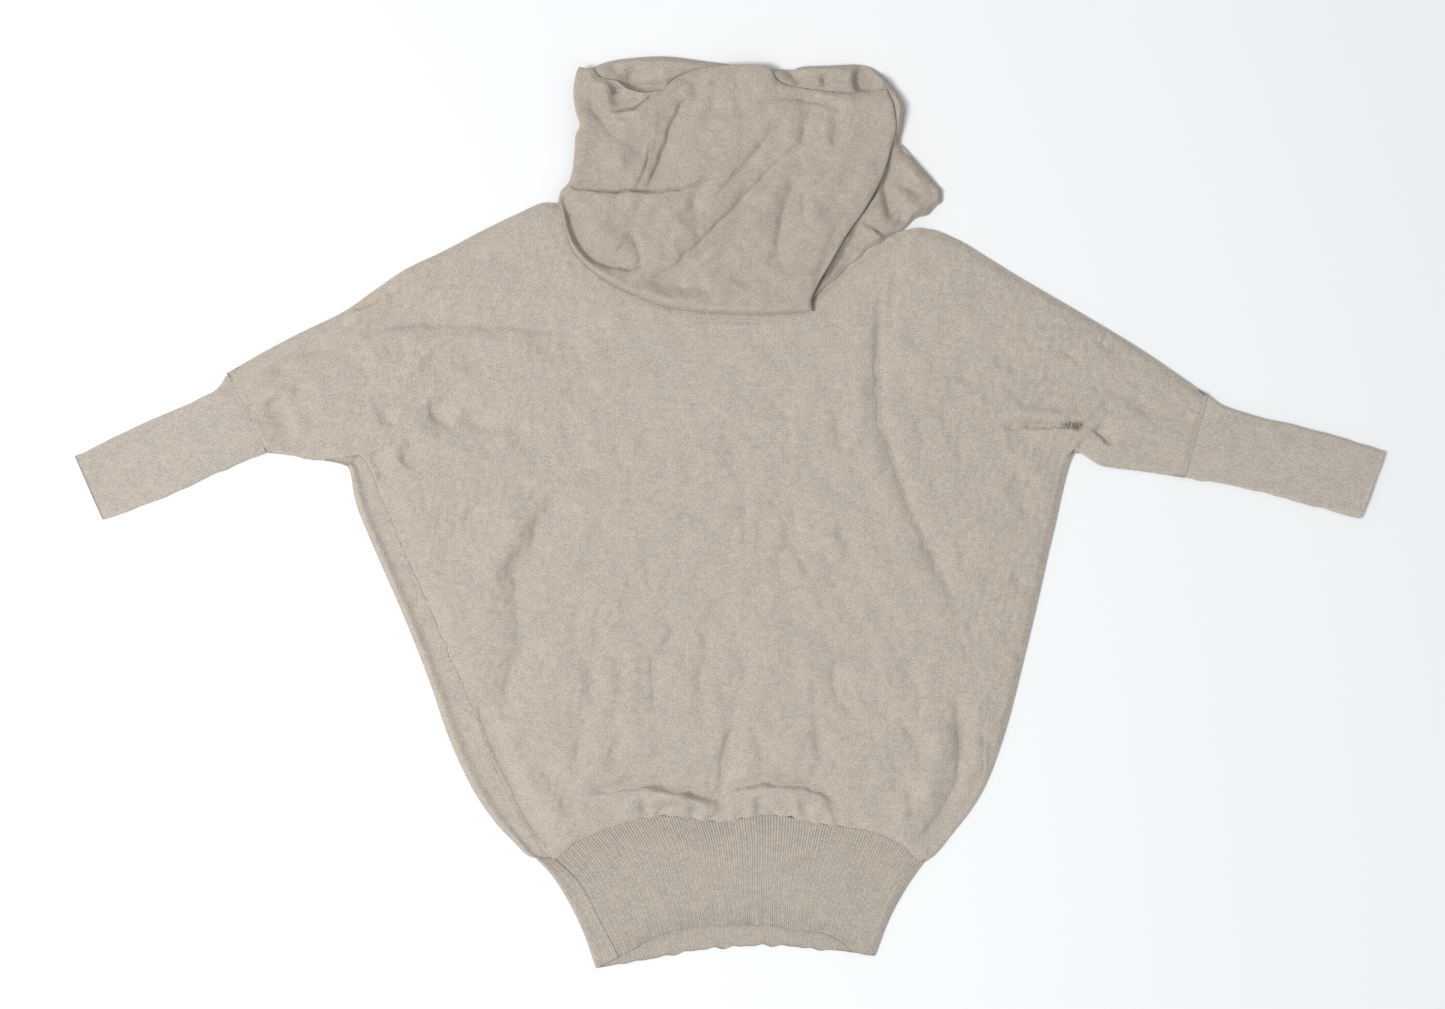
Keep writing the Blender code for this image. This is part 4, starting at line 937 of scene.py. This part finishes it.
rim_rounds = [(out, up) for out, up in ((.5, 3.2), (.85, 2.9), (.8, 2.5), (.2, 2.15), (-.5, 1.95), (-.5, 1.8),
                                        (.2, 1.6), (.8, 1.2), (.85, .8), (.5, .35), (-.3, .05))]
rear_rings = [stack(moved_out(rear_border, out), up) for out, up in rim_rounds]
count = rear_xy[..., 0].size
top_index = np.arange(count).reshape(rear_xy.shape[:2])
base_index = top_index + count
edge_of = (lambda k: np.concatenate([k[:, 0], k[-1, 1:], k[-2::-1, -1], k[0, -2:0:-1]]))
loops = [edge_of(top_index)]
loops += [np.arange(len(rear_border)) + 2 * count + k * len(rear_border) for k in range(len(rear_rings))]
loops.append(edge_of(base_index))
loops = [np.append(k, k[0]) for k in loops]
rear_faces = [quads(top_index), quads(base_index)[:, ::-1]]
rear_faces += [rim(b, a) for a, b in zip(loops[:-1], loops[1:])]
base = stack(rear_xy - (rear_xy - rear_xy.reshape(-1, 2).mean(0)) * .006, .03)
rear_points = np.concatenate([stack(rear_xy, rear_z).reshape(-1, 3), base.reshape(-1, 3)] + rear_rings)
cowl_rear_layers = piece("cowl_rear_layers", rear_points, rear_faces, rear_points[:, :2], cowl_jersey)
lay(cowl_rear_layers, "cowl_back")

# Neckline stitches
# Two short rows of machine stitches in the yarn's own colour, just below the
# middle of the cowl, where the collar's seam is caught down.
STITCH_ROWS = [183.6, 179.6]
STITCH_SPAN = (-34, 27)
STITCH_PITCH = 3.1
thread = heather_knit("thread", (.50, .43, .36), (.33, .30, .275), (.001, .001), .00005, .3)


def stitch_line(start, end, pitch, length, radius, height_at):
    """A row of stitches: short rounded threads, each a hexagon swept along a
    low arch that dips into the knit at both ends."""
    start, end = np.asarray(start, float), np.asarray(end, float)
    count = int(np.linalg.norm(end - start) / pitch)
    middles = start + (end - start) * ((np.arange(count) + .5) / count)[:, None]
    way = (end - start) / np.linalg.norm(end - start)
    s = np.linspace(-1, 1, 7)
    turn = np.arange(6) * np.pi / 3
    size = radius * np.sqrt(np.maximum(1 - s**6, .02))
    xy = (middles[:, None, None] + way * (s * length / 2)[None, :, None, None]
          + np.array([-way[1], way[0]]) * (size[:, None] * np.cos(turn))[None, :, :, None])
    arch = height_at(middles)[:, None, None] + (.25 - .45 * s**2)[None, :, None]
    z = arch + (size[:, None] * np.sin(turn))[None]
    points = stack(xy, z).reshape(-1, 3)
    index = np.arange(7 * 6).reshape(7, 6)
    tube = quads(np.concatenate([index, index[:, :1]], axis=1))
    caps = np.array([[0, 1, 2, 3], [0, 3, 4, 5], [39, 38, 37, 36], [41, 40, 39, 36]])
    faces = np.concatenate([tube, caps])[None] + (np.arange(count) * 42)[:, None, None]
    return points, faces.reshape(-1, 4)


def front_height(xy):
    """Height of the front panel nearest to each point."""
    flat = front_xy.reshape(-1, 2)
    return np.array([front_z.ravel()[((flat - p)**2).sum(1).argmin()] for p in xy])


rows = [stitch_line((STITCH_SPAN[0], y), (STITCH_SPAN[1], y - 1), STITCH_PITCH, 2.3, .3, front_height)
        for y in STITCH_ROWS]
row_points = np.concatenate([points for points, _ in rows])
row_faces = np.concatenate([rows[0][1], rows[1][1] + len(rows[0][0])])
neck_stitches = piece("neck_stitches", row_points, [row_faces], row_points[:, :2], thread)
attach(neck_stitches, "root")

# Floor, light and camera
# A plain white table, broad soft light from the lower left, and a camera
# that looks straight down, as the sweater was shown.
FLOOR_SIZE = 8.0
CAMERA_HEIGHT = 2.2
VIEW_WIDTH = 1.37275
CAMERA_X, CAMERA_Y = -.0071, .0076

floor_mesh = bpy.data.meshes.new("table_top")
half = FLOOR_SIZE / 2
floor_mesh.from_pydata([(-half, -half, -.0004), (half, -half, -.0004), (half, half, -.0004), (-half, half, -.0004)],
                       [], [(0, 1, 2, 3)])
table_top = bpy.data.objects.new("table_top", floor_mesh)
bpy.context.scene.collection.objects.link(table_top)
white = bpy.data.materials.new("white_table")
white.use_nodes = True
white.node_tree.nodes["Principled BSDF"].inputs["Base Color"].default_value = (.90, .915, .93, 1)
white.node_tree.nodes["Principled BSDF"].inputs["Roughness"].default_value = .7
white.node_tree.nodes["Principled BSDF"].inputs["Specular IOR Level"].default_value = .2
floor_mesh.materials.append(white)

world = bpy.data.worlds.new("studio")
bpy.context.scene.world = world
world.use_nodes = True
world.node_tree.nodes["Background"].inputs[0].default_value = (.96, .98, 1, 1)
world.node_tree.nodes["Background"].inputs[1].default_value = .53


def soft_box(name, place, size, power, colour):
    """A square area light that faces the middle of the sweater."""
    light = bpy.data.lights.new(name, "AREA")
    light.size = size
    light.energy = power
    light.color = colour
    obj = bpy.data.objects.new(name, light)
    obj.location = place
    obj.rotation_euler = (-Vector(place)).to_track_quat("-Z", "Y").to_euler()
    bpy.context.scene.collection.objects.link(obj)


soft_box("key", (-2.33, -.72, 3.65), 1.3, 134, (1, .99, .975))

camera = bpy.data.cameras.new("camera")
camera.sensor_width = 36
camera.lens = 36 * CAMERA_HEIGHT / VIEW_WIDTH
camera_object = bpy.data.objects.new("camera", camera)
camera_object.location = (CAMERA_X, CAMERA_Y, CAMERA_HEIGHT)
bpy.context.scene.collection.objects.link(camera_object)
bpy.context.scene.camera = camera_object
bpy.context.scene.view_settings.view_transform = "Standard"
